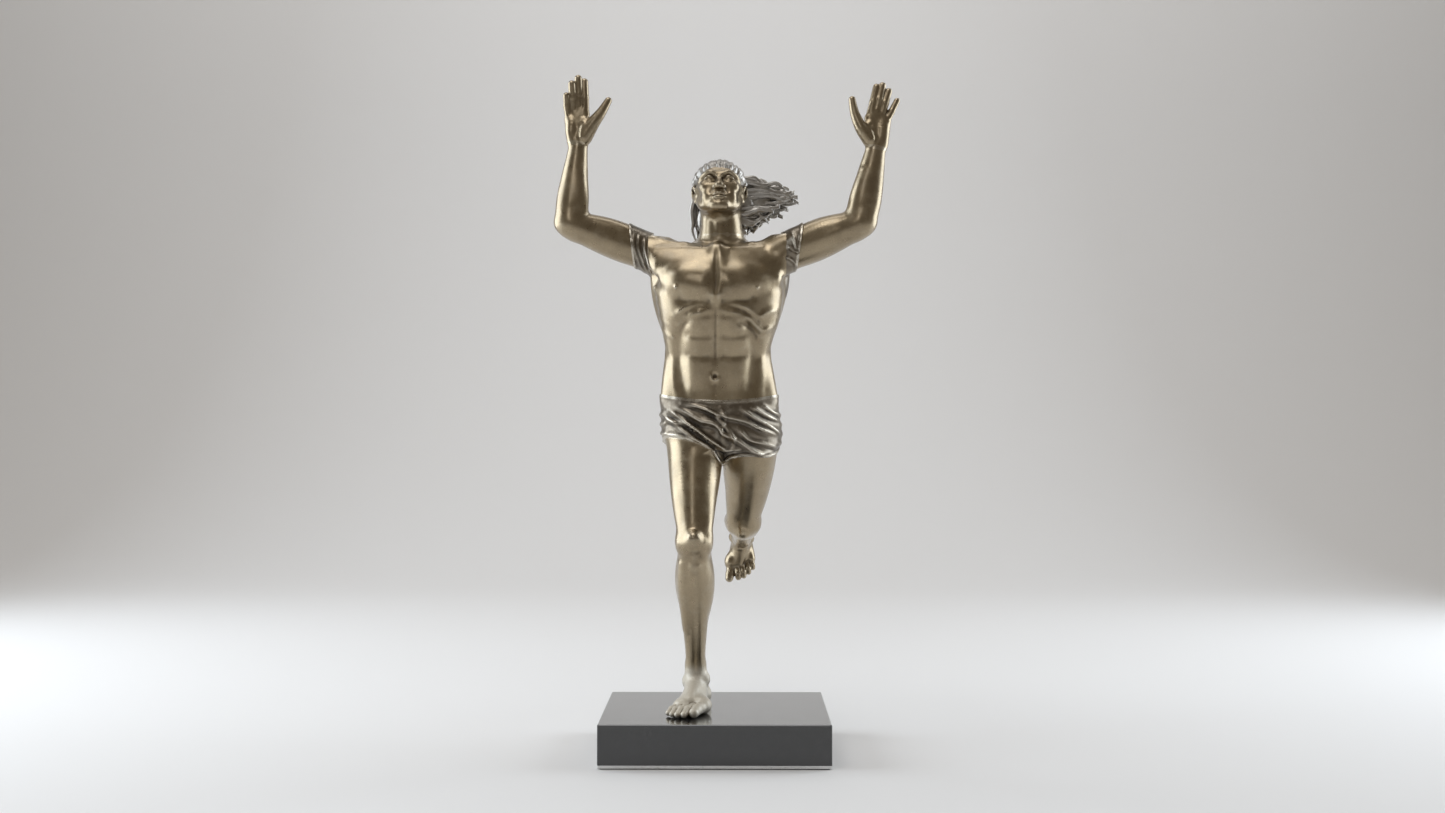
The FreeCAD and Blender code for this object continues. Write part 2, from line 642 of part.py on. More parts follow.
for centre, normal, wide, narrow in torso_stations[1:7]:
    hollow_stations.append((centre, normal, wide + " - 2 * Dims.wall - 6", narrow + " - 2 * Dims.wall - 4"))
loft(torso, "trunk_hollow", hollow_stations, side_way, cut=True)
for name, (shoulder, elbow, pair) in arms.items():
    bore(torso, name + "_shoulder_bore", between(shoulder, elbow, arm_start), elbow - shoulder,
         cell("shoulder_dowel_dia"), cell("shoulder_dowel_length"))
bore(torso, "torso_neck_bore", at("neck"), up, cell("neck_dowel_dia"), cell("neck_dowel_length"))
nodes.append(torso)

# ---- Waist pins: four radial pins that lock the torso on the shorts' lip ----
pin_level = waist + up * (dims["lip_rise"] / 2)
waist_pins = []
for number, (way, outside, lip) in enumerate((
    (Vector(1, 0, 0), "torso_waist_wide", "lip_width"), (Vector(-1, 0, 0), "torso_waist_wide", "lip_width"),
    (Vector(0, 1, 0), "torso_waist_narrow", "lip_depth"),
    (Vector(0, -1, 0), "torso_waist_narrow", "lip_depth"),
)):
    inner_end = dims[lip] / 2 - dims["lip_wall"]
    outer_end = dims[outside] / 2 - dims["waist_pin_inset"]
    middle = pin_level + way * ((inner_end + outer_end) / 2)
    length = "(Dims.%s / 2 - Dims.waist_pin_inset - Dims.%s / 2 + Dims.lip_wall)" % (outside, lip)
    for body, name in ((torso, "torso"), (shorts, "lip")):
        sketch = sketch_in(body, "%s_waist_pin_%d_circle" % (name, number), facing(middle, way, up))
        add_circle(sketch, "Dims.waist_pin_dia / 2")
        pocket(body, "%s_waist_pin_%d" % (name, number), sketch, length)
    waist_pins.append(rod("waist_pin_%d" % number, middle, way, cell("waist_pin_dia"), length))
nodes.append(group("waist_pins", waist_pins))

# ---- Sleeves: an oval cuff over each arm's joint with the torso ----
for name, (shoulder, elbow, pair) in arms.items():
    arm_axis = unit(elbow - shoulder)
    start = between(shoulder, elbow, arm_start) - arm_axis * dims["sleeve_overlap"]
    cuff = body_named(name + "_sleeve")
    outline = sketch_in(cuff, name + "_sleeve_ovals", facing(start, arm_axis, up))
    add_ellipse(outline, pair[0] + " + 2 * (Dims.fit_gap + Dims.sleeve_wall)",
                pair[1] + " + 2 * (Dims.fit_gap + Dims.sleeve_wall)", "outer_")
    pad(cuff, name + "_sleeve_blank", outline, cell("sleeve_length"))
    inside = sketch_in(cuff, name + "_sleeve_inside", facing(start, arm_axis, up))
    add_ellipse(inside, pair[0] + " + 2 * Dims.fit_gap", pair[1] + " + 2 * Dims.fit_gap", "inner_")
    pocket(cuff, name + "_sleeve_bore", inside, "4 * Dims.sleeve_length")
    nodes.append(cuff)

# ---- Arms: upper arm, elbow and forearm in one casting ----
arm_sizes = {
    "right": {"swell": ("upper", 0.52, 27.0, 25.0), "low": ("upper", 0.8, 23.0, 21.5),
              "elbow": ("elbow", 0.0, 26.0, 20.0), "forearm": ("fore", 0.24, 24.5, 21.0),
              "taper": ("fore", 0.6, 18.5, 16.0), "wrist": ("fore", 1.0, 12.5, 10.0)},
    "left": {"swell": ("upper", 0.52, 30.0, 27.0), "low": ("upper", 0.8, 25.0, 23.0),
             "elbow": ("elbow", 0.0, 28.0, 21.0), "forearm": ("fore", 0.24, 26.0, 22.0),
             "taper": ("fore", 0.6, 18.5, 16.0), "wrist": ("fore", 1.0, 12.5, 10.0)},
}
for name, (shoulder, elbow, pair) in arms.items():
    wrist = at(name + "_wrist")
    arm_axis = unit(elbow - shoulder)
    fore_axis = unit(wrist - elbow)
    outward = Vector(arm_axis.x, 0, 0)
    arm = body_named(name + "_arm")
    face = between(shoulder, elbow, arm_start)
    root = sketch_in(arm, name + "_arm_root_oval", facing(face, arm_axis, up))
    add_ellipse(root, pair[0], pair[1])
    pad(arm, name + "_arm_root", root, "Dims.sleeve_length - Dims.sleeve_overlap")
    covered = face + arm_axis * (dims["sleeve_length"] - dims["sleeve_overlap"])
    stations = [(covered - arm_axis * 4.0, arm_axis, pair[0] + " - 4", pair[1] + " - 4")]
    elbow_axis = unit(arm_axis + fore_axis)
    fore_stations = [(elbow - elbow_axis * 4.0 + unit(arm_axis - fore_axis) * 1.0, elbow_axis)
                     + ovals(name + "_inner_elbow", {"oval": (21.0, 16.0)})[0]]
    arm_pairs = ovals(name + "_arm", {key: size[2:] for key, size in arm_sizes[name].items()})
    for (bone, share, _, _), oval in zip(arm_sizes[name].values(), arm_pairs):
        if bone == "upper":
            stations.append((between(shoulder, elbow, share), arm_axis) + oval)
        elif bone == "elbow":
            stations.append((elbow, elbow_axis) + oval)
        else:
            fore_stations.append((between(elbow, wrist, share), fore_axis) + oval)
    loft(arm, name + "_upper_arm", stations, up - outward * 0.4)
    loft(arm, name + "_forearm", fore_stations, up - outward)
    bore(arm, name + "_arm_shoulder_bore", face, arm_axis,
         cell("shoulder_dowel_dia"), cell("shoulder_dowel_length"))
    bore(arm, name + "_arm_wrist_bore", wrist, fore_axis,
         cell("wrist_dowel_dia"), cell("wrist_dowel_length"))
    nodes.append(arm)

# ---- Hands: a palm, four fingers and a thumb, open and facing forwards ----
palm_pairs = ovals("palm", {
    "wrist": (12.5, 10.0), "heel": (17.0, 9.5), "middle": (19.0, 9.0), "knuckles": (20.0, 7.5),
})
finger_pairs = ovals("finger", {"root": (5.2, 5.0), "middle": (4.8, 4.6), "tip": (3.6, 3.4)})
thumb_pairs = ovals("thumb", {"root": (9.0, 7.5), "middle": (6.2, 5.6), "tip": (4.2, 3.8)})
dim("finger_spread", 5.0)
finger_shares = {
    "index": (-1.5, 0.93, -0.05), "middle": (-0.5, 1.0, 0.0),
    "ring": (0.5, 0.95, 0.06), "little": (1.45, 0.8, 0.18),
}
for name, inward in (("right", 1.0), ("left", -1.0)):
    wrist = at(name + "_wrist")
    tip = at(name + "_fingertip")
    hand_axis = unit(tip - wrist)
    reach = (tip - wrist).Length
    thumb_way = unit(Vector(inward, 0, 0) - hand_axis * (inward * hand_axis.x))
    fore_axis = unit(wrist - at(name + "_elbow"))
    hand = body_named(name + "_hand")
    palm = [(wrist, fore_axis) + palm_pairs[0]]
    for share, pair in zip((0.16, 0.34, 0.52), palm_pairs[1:]):
        palm.append((wrist + hand_axis * (reach * share), hand_axis) + pair)
    loft(hand, name + "_palm", palm, side_way)
    for finger, (step, length, lean) in finger_shares.items():
        root_point = wrist + hand_axis * (reach * 0.44) - thumb_way * (step * dims["finger_spread"])
        way = unit(hand_axis - thumb_way * lean)
        end = root_point + way * (reach * (length - 0.44))
        loft(hand, "%s_%s_finger" % (name, finger), [
            (root_point, way) + finger_pairs[0], (between(root_point, end, 0.55), way) + finger_pairs[1],
            (end, way) + finger_pairs[2]], side_way)
    thumb_root = wrist + hand_axis * (reach * 0.22) + thumb_way * 4.0
    thumb_bend = wrist + hand_axis * (reach * 0.36) + thumb_way * 15.0
    thumb_end = wrist + hand_axis * (reach * 0.66) + thumb_way * 22.0
    loft(hand, name + "_thumb", [
        (thumb_root, unit(thumb_bend - thumb_root)) + thumb_pairs[0],
        (thumb_bend, unit(thumb_end - thumb_root)) + thumb_pairs[1],
        (thumb_end, unit(thumb_end - thumb_bend)) + thumb_pairs[2]], up)
    bore(hand, name + "_hand_wrist_bore", wrist, fore_axis,
         cell("wrist_dowel_dia"), cell("wrist_dowel_length"))
    nodes.append(hand)


# ---- Head and hair ----
head_centre = at("head")
tilt = Rotation(Vector(1, 0, 0), -dims["head_tilt"])
jaw_centre = head_centre + tilt.multVec(Vector(0, -6.0, -13.5))


def ellipsoid(body, name, centre, width, depth, height, cut=False):
    kind = "PartDesign::SubtractiveEllipsoid" if cut else "PartDesign::AdditiveEllipsoid"
    shape = body.newObject(kind, name)
    shape.setExpression("Radius1", height + " / 2")
    shape.setExpression("Radius2", width + " / 2")
    shape.setExpression("Radius3", depth + " / 2")
    shape.AttachmentSupport = (body.Origin.OriginFeatures[3], [""])
    shape.MapMode = "FlatFace"
    shape.AttachmentOffset = Placement(centre, tilt)
    return shape


neck_pairs = ovals("neck_oval", {"base": (33.0, 29.5), "middle": (27.5, 26.5), "top": (26.0, 25.0)})
head = body_named("head")
ellipsoid(head, "cranium", head_centre, cell("cranium_width"), cell("cranium_depth"),
          cell("cranium_height"))
ellipsoid(head, "jaw", jaw_centre, cell("jaw_width"), cell("jaw_depth"), cell("jaw_height"))
loft(head, "neck_column", [
    (at("neck"), up) + neck_pairs[0],
    (between(at("neck"), head_centre, 0.45) + Vector(0, 1.5, 0), up) + neck_pairs[1],
    (between(at("neck"), head_centre, 0.8) + Vector(0, 2.0, 0), up) + neck_pairs[2],
], side_way)
bore(head, "head_neck_bore", at("neck"), up, cell("neck_dowel_dia"), cell("neck_dowel_length"))
nodes.append(head)

hair = body_named("hair")
crown_centre = head_centre + tilt.multVec(Vector(0, 2.5, 1.5))
ellipsoid(hair, "crown", crown_centre, "(Dims.cranium_width + 2 * Dims.hair_thickness)",
          "(Dims.cranium_depth + 2 * Dims.hair_thickness - 2)",
          "(Dims.cranium_height + 2 * Dims.hair_thickness - 2)")
opening_place = Placement(head_centre + tilt.multVec(Vector(0, -26.5, -17.0)), tilt)
opening = sketch_in(hair, "face_opening_outline", opening_place)
add_rectangle(opening, "Dims.cranium_width + 14", "Dims.cranium_depth - 3")
pocket(hair, "face_opening", opening, "Dims.cranium_height + 27")
nape = sketch_in(hair, "nape_outline", Placement(head_centre + tilt.multVec(Vector(0, 0, -29.0)), tilt))
add_rectangle(nape, "Dims.cranium_width + 30", "Dims.cranium_depth + 30")
pocket(hair, "nape_cut", nape, "Dims.cranium_height - 1")
hair_pairs = ovals("blown_hair", {
    "root": (40.0, 22.0), "swell": (37.0, 21.0), "thin": (18.0, 12.0), "end": (5.0, 4.0),
})
blow_start = head_centre + Vector(3.0, 14.0, -6.0)
hair_tip = at("hair_tip")
blow_axis = unit(hair_tip - blow_start)
loft(hair, "blown_locks", [
    (blow_start, blow_axis) + hair_pairs[0],
    (between(blow_start, hair_tip, 0.35) - up * 3.0, blow_axis) + hair_pairs[1],
    (between(blow_start, hair_tip, 0.7), blow_axis) + hair_pairs[2],
    (hair_tip, blow_axis) + hair_pairs[3],
], up)
collar = sketch_in(hair, "neck_clearance_circle", Placement(at("neck") + Vector(-0.5, 0, 0), Rotation()))
add_circle(collar, "Dims.neck_oval_base_wide / 2 + 1")
pocket(hair, "neck_clearance", collar, "Dims.cranium_height")
ellipsoid(hair, "cranium_seat", head_centre, cell("cranium_width"), cell("cranium_depth"),
          cell("cranium_height"), True)
hair_pins = []
for number, side in enumerate((-1, 1)):
    way = tilt.multVec(Vector(side * 0.2, 1, 0.75))
    spot = head_centre + unit(way) * 20.0
    for body, name in ((head, "skull"), (hair, "hair")):
        sketch = sketch_in(body, "%s_hair_pin_%d_circle" % (name, number), facing(spot, way, side_way))
        add_circle(sketch, "Dims.hair_pin_dia / 2")
        pocket(body, "%s_hair_pin_%d" % (name, number), sketch, cell("hair_pin_length"))
    hair_pins.append(rod("hair_pin_%d" % number, spot, way, cell("hair_pin_dia"), cell("hair_pin_length")))
nodes.append(hair)
nodes.append(group("hair_pins", hair_pins))

# ---- Dowels ----
nodes.append(rod("neck_dowel", at("neck"), up, cell("neck_dowel_dia"), cell("neck_dowel_length")))
nodes.append(rod("left_ankle_dowel", at("trailing_ankle"), trailing_shin,
                 cell("ankle_dowel_dia"), cell("ankle_dowel_length")))
for name, (shoulder, elbow, pair) in arms.items():
    nodes.append(rod(name + "_shoulder_dowel", between(shoulder, elbow, arm_start), elbow - shoulder,
                     cell("shoulder_dowel_dia"), cell("shoulder_dowel_length")))
    nodes.append(rod(name + "_wrist_dowel", at(name + "_wrist"), at(name + "_wrist") - elbow,
                     cell("wrist_dowel_dia"), cell("wrist_dowel_length")))
for name, hip, knee in (
    ("right", at("support_hip"), at("support_knee")),
    ("left", at("trailing_hip"), at("trailing_knee")),
):
    nodes.append(rod(name + "_hip_dowel", between(hip, knee, hem_share), knee - hip,
                     cell("hip_dowel_dia"), cell("hip_dowel_length")))

# ---- Check every object, then write each node ----
doc.recompute()
for item in doc.Objects:
    if "Invalid" in item.State or "Error" in item.State:
        raise RuntimeError("%s did not build: %s" % (item.Label, item.State))
os.makedirs("parts", exist_ok=True)
for item in nodes:
    shape = item.Shape
    if shape.isNull() or not shape.isValid() or not shape.Solids:
        raise RuntimeError("%s has no valid solid" % item.Label)
    shape.exportStep("parts/%s.step" % item.Label)
    print("%-22s solids %d  volume %9.1f mm3" % (item.Label, len(shape.Solids), shape.Volume))
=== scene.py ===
import math

import bmesh
import bpy
import numpy as np
from mathutils import Matrix, Vector


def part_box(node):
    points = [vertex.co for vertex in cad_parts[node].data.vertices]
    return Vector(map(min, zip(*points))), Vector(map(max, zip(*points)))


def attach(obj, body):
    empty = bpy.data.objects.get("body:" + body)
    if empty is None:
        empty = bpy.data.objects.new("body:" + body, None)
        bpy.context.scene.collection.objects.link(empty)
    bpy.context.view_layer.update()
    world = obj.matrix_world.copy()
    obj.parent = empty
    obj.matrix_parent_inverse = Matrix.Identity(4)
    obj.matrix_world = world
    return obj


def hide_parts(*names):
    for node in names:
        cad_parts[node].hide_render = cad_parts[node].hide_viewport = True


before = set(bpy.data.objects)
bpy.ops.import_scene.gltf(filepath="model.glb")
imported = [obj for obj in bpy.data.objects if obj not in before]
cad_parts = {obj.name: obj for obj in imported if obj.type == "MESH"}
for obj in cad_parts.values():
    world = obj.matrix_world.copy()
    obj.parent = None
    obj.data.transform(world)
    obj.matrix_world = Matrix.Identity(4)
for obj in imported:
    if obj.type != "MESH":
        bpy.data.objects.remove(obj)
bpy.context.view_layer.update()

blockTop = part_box("base_block")[1].z * 1000.0  # figure heights are millimetres above this


# Forms: each one is a solid with a distance, and a figure is the soft union of its forms

def vec(*numbers):
    return np.array(numbers, float)


def unit(vector):
    vector = np.asarray(vector, float)
    return vector / np.linalg.norm(vector)


flatWay = vec(0, 1, 0)  # the way a flattened limb is thinner


def bone(start, end, near, far, belly=0.0, blend=3.0, flat=1.0):
    return {"kind": "bone", "start": vec(*start), "end": vec(*end), "radii": (near, far, belly),
            "blend": blend, "flat": flat}


def egg(centre, radii, turn=None, blend=3.0, carve=False):
    turn = np.eye(3) if turn is None else np.array(turn, float)
    return {"kind": "egg", "centre": vec(*centre), "radii": vec(*radii), "turn": turn,
            "blend": blend, "carve": carve}


def chain(points, radii, blend=3.0, flat=1.0):
    # one smooth limb: the path and its radius both run through the given points
    detail = {"limb": 9, "feature": 3, "limbBlend": 4.0}
    pieces = detail["limb"] if blend >= detail["limbBlend"] else detail["feature"]
    if len(points) < 3:
        pieces = 1
    path = smoothPath(np.column_stack([np.array(points, float), np.array(radii, float)]), pieces)
    bones = [bone(path[i][:3], path[i + 1][:3], path[i][3], path[i + 1][3], 0.0, blend, flat)
             for i in range(len(path) - 1)]
    return [{"kind": "chain", "bones": bones, "blend": blend}]


def column(stations, boxiness, blend):
    table = np.array(stations, float)
    heights = np.arange(table[0, 0], table[-1, 0] + 0.5, 0.5)
    rows = [np.interp(heights, table[:, 0], table[:, k]) for k in range(1, 5)]
    kernel = np.hanning(23)
    kernel /= kernel.sum()
    rows = [np.convolve(np.pad(row, 11, mode="edge"), kernel, mode="valid") for row in rows]
    return {"kind": "column", "heights": heights, "rows": rows, "power": boxiness, "blend": blend}


def stroke(points, width, height, facing=0):
    # facing -1 marks the front only, 1 the back only, 0 follows the points in space
    points = np.array(points, float)
    if facing:
        points = np.column_stack([points[:, 0], np.zeros(len(points)), points[:, 1]])
    dense = smoothPath(points, 5 if len(points) > 2 else 1)
    return {"path": dense, "width": width, "height": height, "facing": facing}


def smoothPath(points, pieces):
    # Catmull-Rom through given points
    if pieces < 2:
        return points
    ends = np.vstack([2 * points[0] - points[1], points, 2 * points[-1] - points[-2]])
    path = []
    for i in range(len(points) - 1):
        p0, p1, p2, p3 = ends[i:i + 4]
        for step in range(pieces):
            t = step / pieces
            path.append(0.5 * (2 * p1 + (p2 - p0) * t + (2 * p0 - 5 * p1 + 4 * p2 - p3) * t * t
                               + (3 * p1 - p0 - 3 * p2 + p3) * t ** 3))
    path.append(points[-1])
    return np.array(path)


def formBox(form, margin):
    if form["kind"] == "chain":
        boxes = [formBox(part, margin) for part in form["bones"]]
        return np.min([low for low, high in boxes], axis=0), np.max([high for low, high in boxes], axis=0)
    if form["kind"] == "bone":
        reach = max(form["radii"][:2]) + max(form["radii"][2], 0) + margin
        return np.minimum(form["start"], form["end"]) - reach, np.maximum(form["start"],
                                                                          form["end"]) + reach
    if form["kind"] == "egg":
        reach = form["radii"].max() + margin
        return form["centre"] - reach, form["centre"] + reach
    wide = max(form["rows"][2].max(), form["rows"][3].max()) + margin + 16
    return vec(-wide, -wide, form["heights"][0] - margin), vec(wide, wide, form["heights"][-1] + margin)


def formDistance(form, p):
    if form["kind"] == "chain":
        return np.min([formDistance(part, p) for part in form["bones"]], axis=0)
    if form["kind"] == "bone":
        q = p - form["start"]
        axis = form["end"] - form["start"]
        if form["flat"] != 1.0:
            stretch = 1.0 / form["flat"] - 1.0
            q = q + np.outer(q @ flatWay, flatWay) * stretch
            axis = axis + flatWay * (axis @ flatWay) * stretch
        share = np.clip((q @ axis) / (axis @ axis), 0.0, 1.0)
        near, far, belly = form["radii"]
        radius = near + (far - near) * share + belly * 4.0 * share * (1.0 - share)
        gap = np.linalg.norm(q - share[:, None] * axis, axis=1) - radius
        return gap * math.sqrt(min(form["flat"], 1.0))
    if form["kind"] == "egg":
        q = ((p - form["centre"]) @ form["turn"]) / form["radii"]
        size = np.linalg.norm(q, axis=1)
        slope = np.linalg.norm(q / form["radii"], axis=1)
        return size * (size - 1.0) / np.maximum(slope, 1e-6)
    z = p[:, 2]
    cx, cy, wide, deep = [np.interp(z, form["heights"], row) for row in form["rows"]]
    u = np.abs((p[:, 0] - cx) / wide)
    v = np.abs((p[:, 1] - cy) / deep)
    size = (u ** form["power"] + v ** form["power"]) ** (1.0 / form["power"])
    slope = np.sqrt((u / wide) ** 2 + (v / deep) ** 2) / np.maximum(np.sqrt(u * u + v * v), 1e-6)
    side = (size - 1.0) / np.maximum(slope, 1e-6)
    return np.maximum(side, np.maximum(form["heights"][0] - z, z - form["heights"][-1]))


def softMin(a, b, k):
    h = np.clip(0.5 + 0.5 * (b - a) / k, 0.0, 1.0)
    return b * (1.0 - h) + a * h - k * h * (1.0 - h)


def smoothStep(low, high, value):
    t = np.clip((value - low) / (high - low), 0.0, 1.0)
    return t * t * (3.0 - 2.0 * t)


def strokeAmount(mark, p):
    path = mark["path"]
    flatten = vec(1, 0, 1) if mark["facing"] else vec(1, 1, 1)
    edge = {"reach": 2.6, "fade": 0.18, "least": 0.25}
    reach = mark["width"] * edge["reach"]
    low, high = path.min(0) - reach, path.max(0) + reach
    used = flatten > 0
    near = np.nonzero(np.all((p[:, used] > low[used]) & (p[:, used] < high[used]), axis=1))[0]
    amount = np.zeros(len(p))
    if not len(near):
        return amount
    q = p[near] * flatten
    best = np.full(len(near), 1e9)
    along = np.zeros(len(near))
    pieces = len(path) - 1
    for i in range(pieces):
        a = path[i] * flatten
        axis = path[i + 1] * flatten - a
        share = np.clip(((q - a) @ axis) / max(axis @ axis, 1e-9), 0.0, 1.0)
        gap = np.linalg.norm(q - a - share[:, None] * axis, axis=1)
        closer = gap < best
        best[closer] = gap[closer]
        along[closer] = (i + share[closer]) / pieces
    fade = smoothStep(0.0, edge["fade"], along) * smoothStep(0.0, edge["fade"], 1.0 - along)
    fade = edge["least"] + (1.0 - edge["least"]) * fade
    value = mark["height"] * np.exp(-(best / mark["width"]) ** 2) * fade
    if mark["facing"]:
        value *= smoothStep(-4.0, 6.0, (p[near, 1] - 5.0) * mark["facing"])
    amount[near] = value
    return amount


def fieldOf(forms, marks, p, extra=None):
    farAway, margin = 30.0, 5.0
    total = np.full(len(p), farAway)
    for form in forms:
        low, high = form.setdefault("box", formBox(form, form["blend"] + margin))
        near = np.nonzero(np.all((p > low) & (p < high), axis=1))[0]
        if not len(near):
            continue
        gap = formDistance(form, p[near])
        if form.get("carve"):
            total[near] = -softMin(-total[near], gap, form["blend"])
        else:
            total[near] = softMin(total[near], gap, form["blend"])
    for mark in marks:
        total -= strokeAmount(mark, p)
    if extra is not None:
        total -= extra(p)
    return total


# Meshing: balls along the forms, joined by a voxel remesh, then settled onto the forms' surface

def unitBall(level):
    mesh = bmesh.new()
    bmesh.ops.create_icosphere(mesh, subdivisions=level, radius=1.0)
    mesh.verts.index_update()
    coords = np.array([vertex.co[:] for vertex in mesh.verts])
    faces = np.array([[vertex.index for vertex in face.verts] for face in mesh.faces])
    mesh.free()
    return coords, faces


balls = {"small": unitBall(2), "large": unitBall(3)}


def ballsOf(form):
    # centre, turn with radii, ball size
    if form["kind"] == "chain":
        return [ball for part in form["bones"] for ball in ballsOf(part)]
    if form.get("carve"):
        return []
    if form["kind"] == "egg":
        return [(form["centre"], form["turn"] * form["radii"], "large")]
    if form["kind"] == "column":
        heights = form["heights"]
        placed = []
        for z in np.arange(heights[0] + 5, heights[-1] - 3, 6.0):
            cx, cy, wide, deep = [np.interp(z, heights, row) for row in form["rows"]]
            placed.append((vec(cx, cy, z), np.diag((wide, deep, 9.0)), "large"))
        return placed
    near, far, belly = form["radii"]
    axis = form["end"] - form["start"]
    steps = max(1, int(np.linalg.norm(axis) / (0.45 * min(near, far) + 0.3)) + 1)
    squash = np.eye(3) - (1.0 - form["flat"]) * np.outer(flatWay, flatWay)
    placed = []
    for i in range(steps + 1):
        share = i / steps
        radius = near + (far - near) * share + belly * 4.0 * share * (1.0 - share)
        placed.append((form["start"] + axis * share, squash * radius, "large" if radius > 6 else "small"))
    return placed


def ballMesh(forms):
    # copies of the two balls, laid along the forms in one mesh
    points, faces, count = [], [], 0
    for form in forms:
        for centre, turn, size in ballsOf(form):
            coords, corners = balls[size]
            points.append(coords @ turn.T + centre)
            faces.append(corners + count)
            count += len(coords)
    points, faces = np.vstack(points), np.vstack(faces)
    data = bpy.data.meshes.new("balls")
    data.vertices.add(len(points))
    data.vertices.foreach_set("co", points.astype(np.float32).ravel())
    data.loops.add(faces.size)
    data.loops.foreach_set("vertex_index", faces.astype(np.int32).ravel())
    data.polygons.add(len(faces))
    data.polygons.foreach_set("loop_start", np.arange(0, faces.size, 3, dtype=np.int32))
    data.update(calc_edges=True)
    return data


def remeshed(data, voxel):
    thing = bpy.data.objects.new("sculptStep", data)
    bpy.context.scene.collection.objects.link(thing)
    step = thing.modifiers.new("Voxels", "REMESH")
    step.mode = "VOXEL"
    step.voxel_size = voxel
    graph = bpy.context.evaluated_depsgraph_get()
    result = bpy.data.meshes.new_from_object(thing.evaluated_get(graph))
    bpy.data.objects.remove(thing)
    return result


def coordsOf(data):
    coords = np.empty(len(data.vertices) * 3, np.float32)
    data.vertices.foreach_get("co", coords)
    return coords.reshape(-1, 3).astype(float)


def setCoords(data, coords):
    data.vertices.foreach_set("co", coords.astype(np.float32).ravel())
    data.update()


def normalsOf(data):
    normals = np.empty(len(data.vertices) * 3, np.float32)
    data.vertex_normals.foreach_get("vector", normals)
    return normals.reshape(-1, 3).astype(float)


sculpting = {
    "roughVoxels": 1.9, "firstVoxels": 2.0, "firstSmallest": 0.8, "firstRounds": 5, "rounds": 4,
    "settleShare": 0.85, "settleReach": 1.6, "smoothRounds": 3, "smoothFactor": 0.5, "sharpDegrees": 52,
}


def settle(data, forms, marks, rounds, extra=None):
    coords = coordsOf(data)
    reach = sculpting["settleReach"]
    for _ in range(rounds):
        gap = np.clip(fieldOf(forms, marks, coords, extra), -reach, reach)
        coords = coords - normalsOf(data) * gap[:, None] * sculpting["settleShare"]
        setCoords(data, coords)


def smoothed(data, rounds, factor):
    mesh = bmesh.new()
    mesh.from_mesh(data)
    for _ in range(rounds):
        bmesh.ops.smooth_vert(mesh, verts=mesh.verts[:], factor=factor,
                              use_axis_x=True, use_axis_y=True, use_axis_z=True)
    mesh.to_mesh(data)
    mesh.free()
    data.update()


def trim(data, cuts):
    # cuts: (point, outward normal, bend or none); what lies outside is removed and the hole is closed
    for point, normal, bend in cuts:
        if bend is not None:
            coords = coordsOf(data)
            coords[:, 2] -= bend(coords)
            setCoords(data, coords)
        mesh = bmesh.new()
        mesh.from_mesh(data)
        geometry = mesh.verts[:] + mesh.edges[:] + mesh.faces[:]
        bmesh.ops.bisect_plane(mesh, geom=geometry, dist=1e-4, plane_co=Vector(point),
                               plane_no=Vector(normal), clear_outer=True)
        rim = [edge for edge in mesh.edges if edge.is_boundary]
        if rim:
            closed = bmesh.ops.holes_fill(mesh, edges=rim, sides=0)
            bmesh.ops.triangulate(mesh, faces=closed["faces"], quad_method="BEAUTY", ngon_method="BEAUTY")
        mesh.to_mesh(data)
        mesh.free()
        data.update()
        if bend is not None:
            coords = coordsOf(data)
            coords[:, 2] += bend(coords)
            setCoords(data, coords)


def boxCuts(low, high):
    ways = np.eye(3)
    return [(way * limit, way * sign, None) for way in ways for limit, sign in ((low, -1.0), (high, 1.0))]


def largestPart(data):
    # keeps the biggest connected shell
    mesh = bmesh.new()
    mesh.from_mesh(data)
    mesh.verts.ensure_lookup_table()
    seen = set()
    shells = []
    for start in mesh.verts:
        if start.index in seen:
            continue
        seen.add(start.index)
        shell = [start]
        for vertex in shell:
            for edge in vertex.link_edges:
                other = edge.other_vert(vertex)
                if other.index not in seen:
                    seen.add(other.index)
                    shell.append(other)
        shells.append(shell)
    shells.sort(key=len, reverse=True)
    for shell in shells[1:]:
        bmesh.ops.delete(mesh, geom=shell, context="VERTS")
    mesh.to_mesh(data)
    mesh.free()
    data.update()


def sculpt(forms, marks, voxel, low, high, cuts, extra=None):
    low, high = vec(*low), vec(*high)
    used = []
    for form in forms:
        a, b = formBox(form, 2.0)
        if np.all(b > low) and np.all(a < high):
            used.append(form)
    reach = 3
    near = [mark for mark in marks if mark["facing"]
            or (np.all(mark["path"].max(0) + reach > low) and np.all(mark["path"].min(0) - reach < high))]
    data = remeshed(ballMesh(used), max(voxel * sculpting["firstVoxels"], sculpting["firstSmallest"]))
    trim(data, boxCuts(low, high))
    largestPart(data)
    settle(data, used, near, sculpting["firstRounds"], extra)
    data = remeshed(data, voxel)
    settle(data, used, near, sculpting["rounds"], extra)
    smoothed(data, sculpting["smoothRounds"], sculpting["smoothFactor"])
    trim(data, cuts)
    largestPart(data)
    return data


# Surface record: how far each spot lies in a hollow (0) or on a ridge (1), for the finish to read

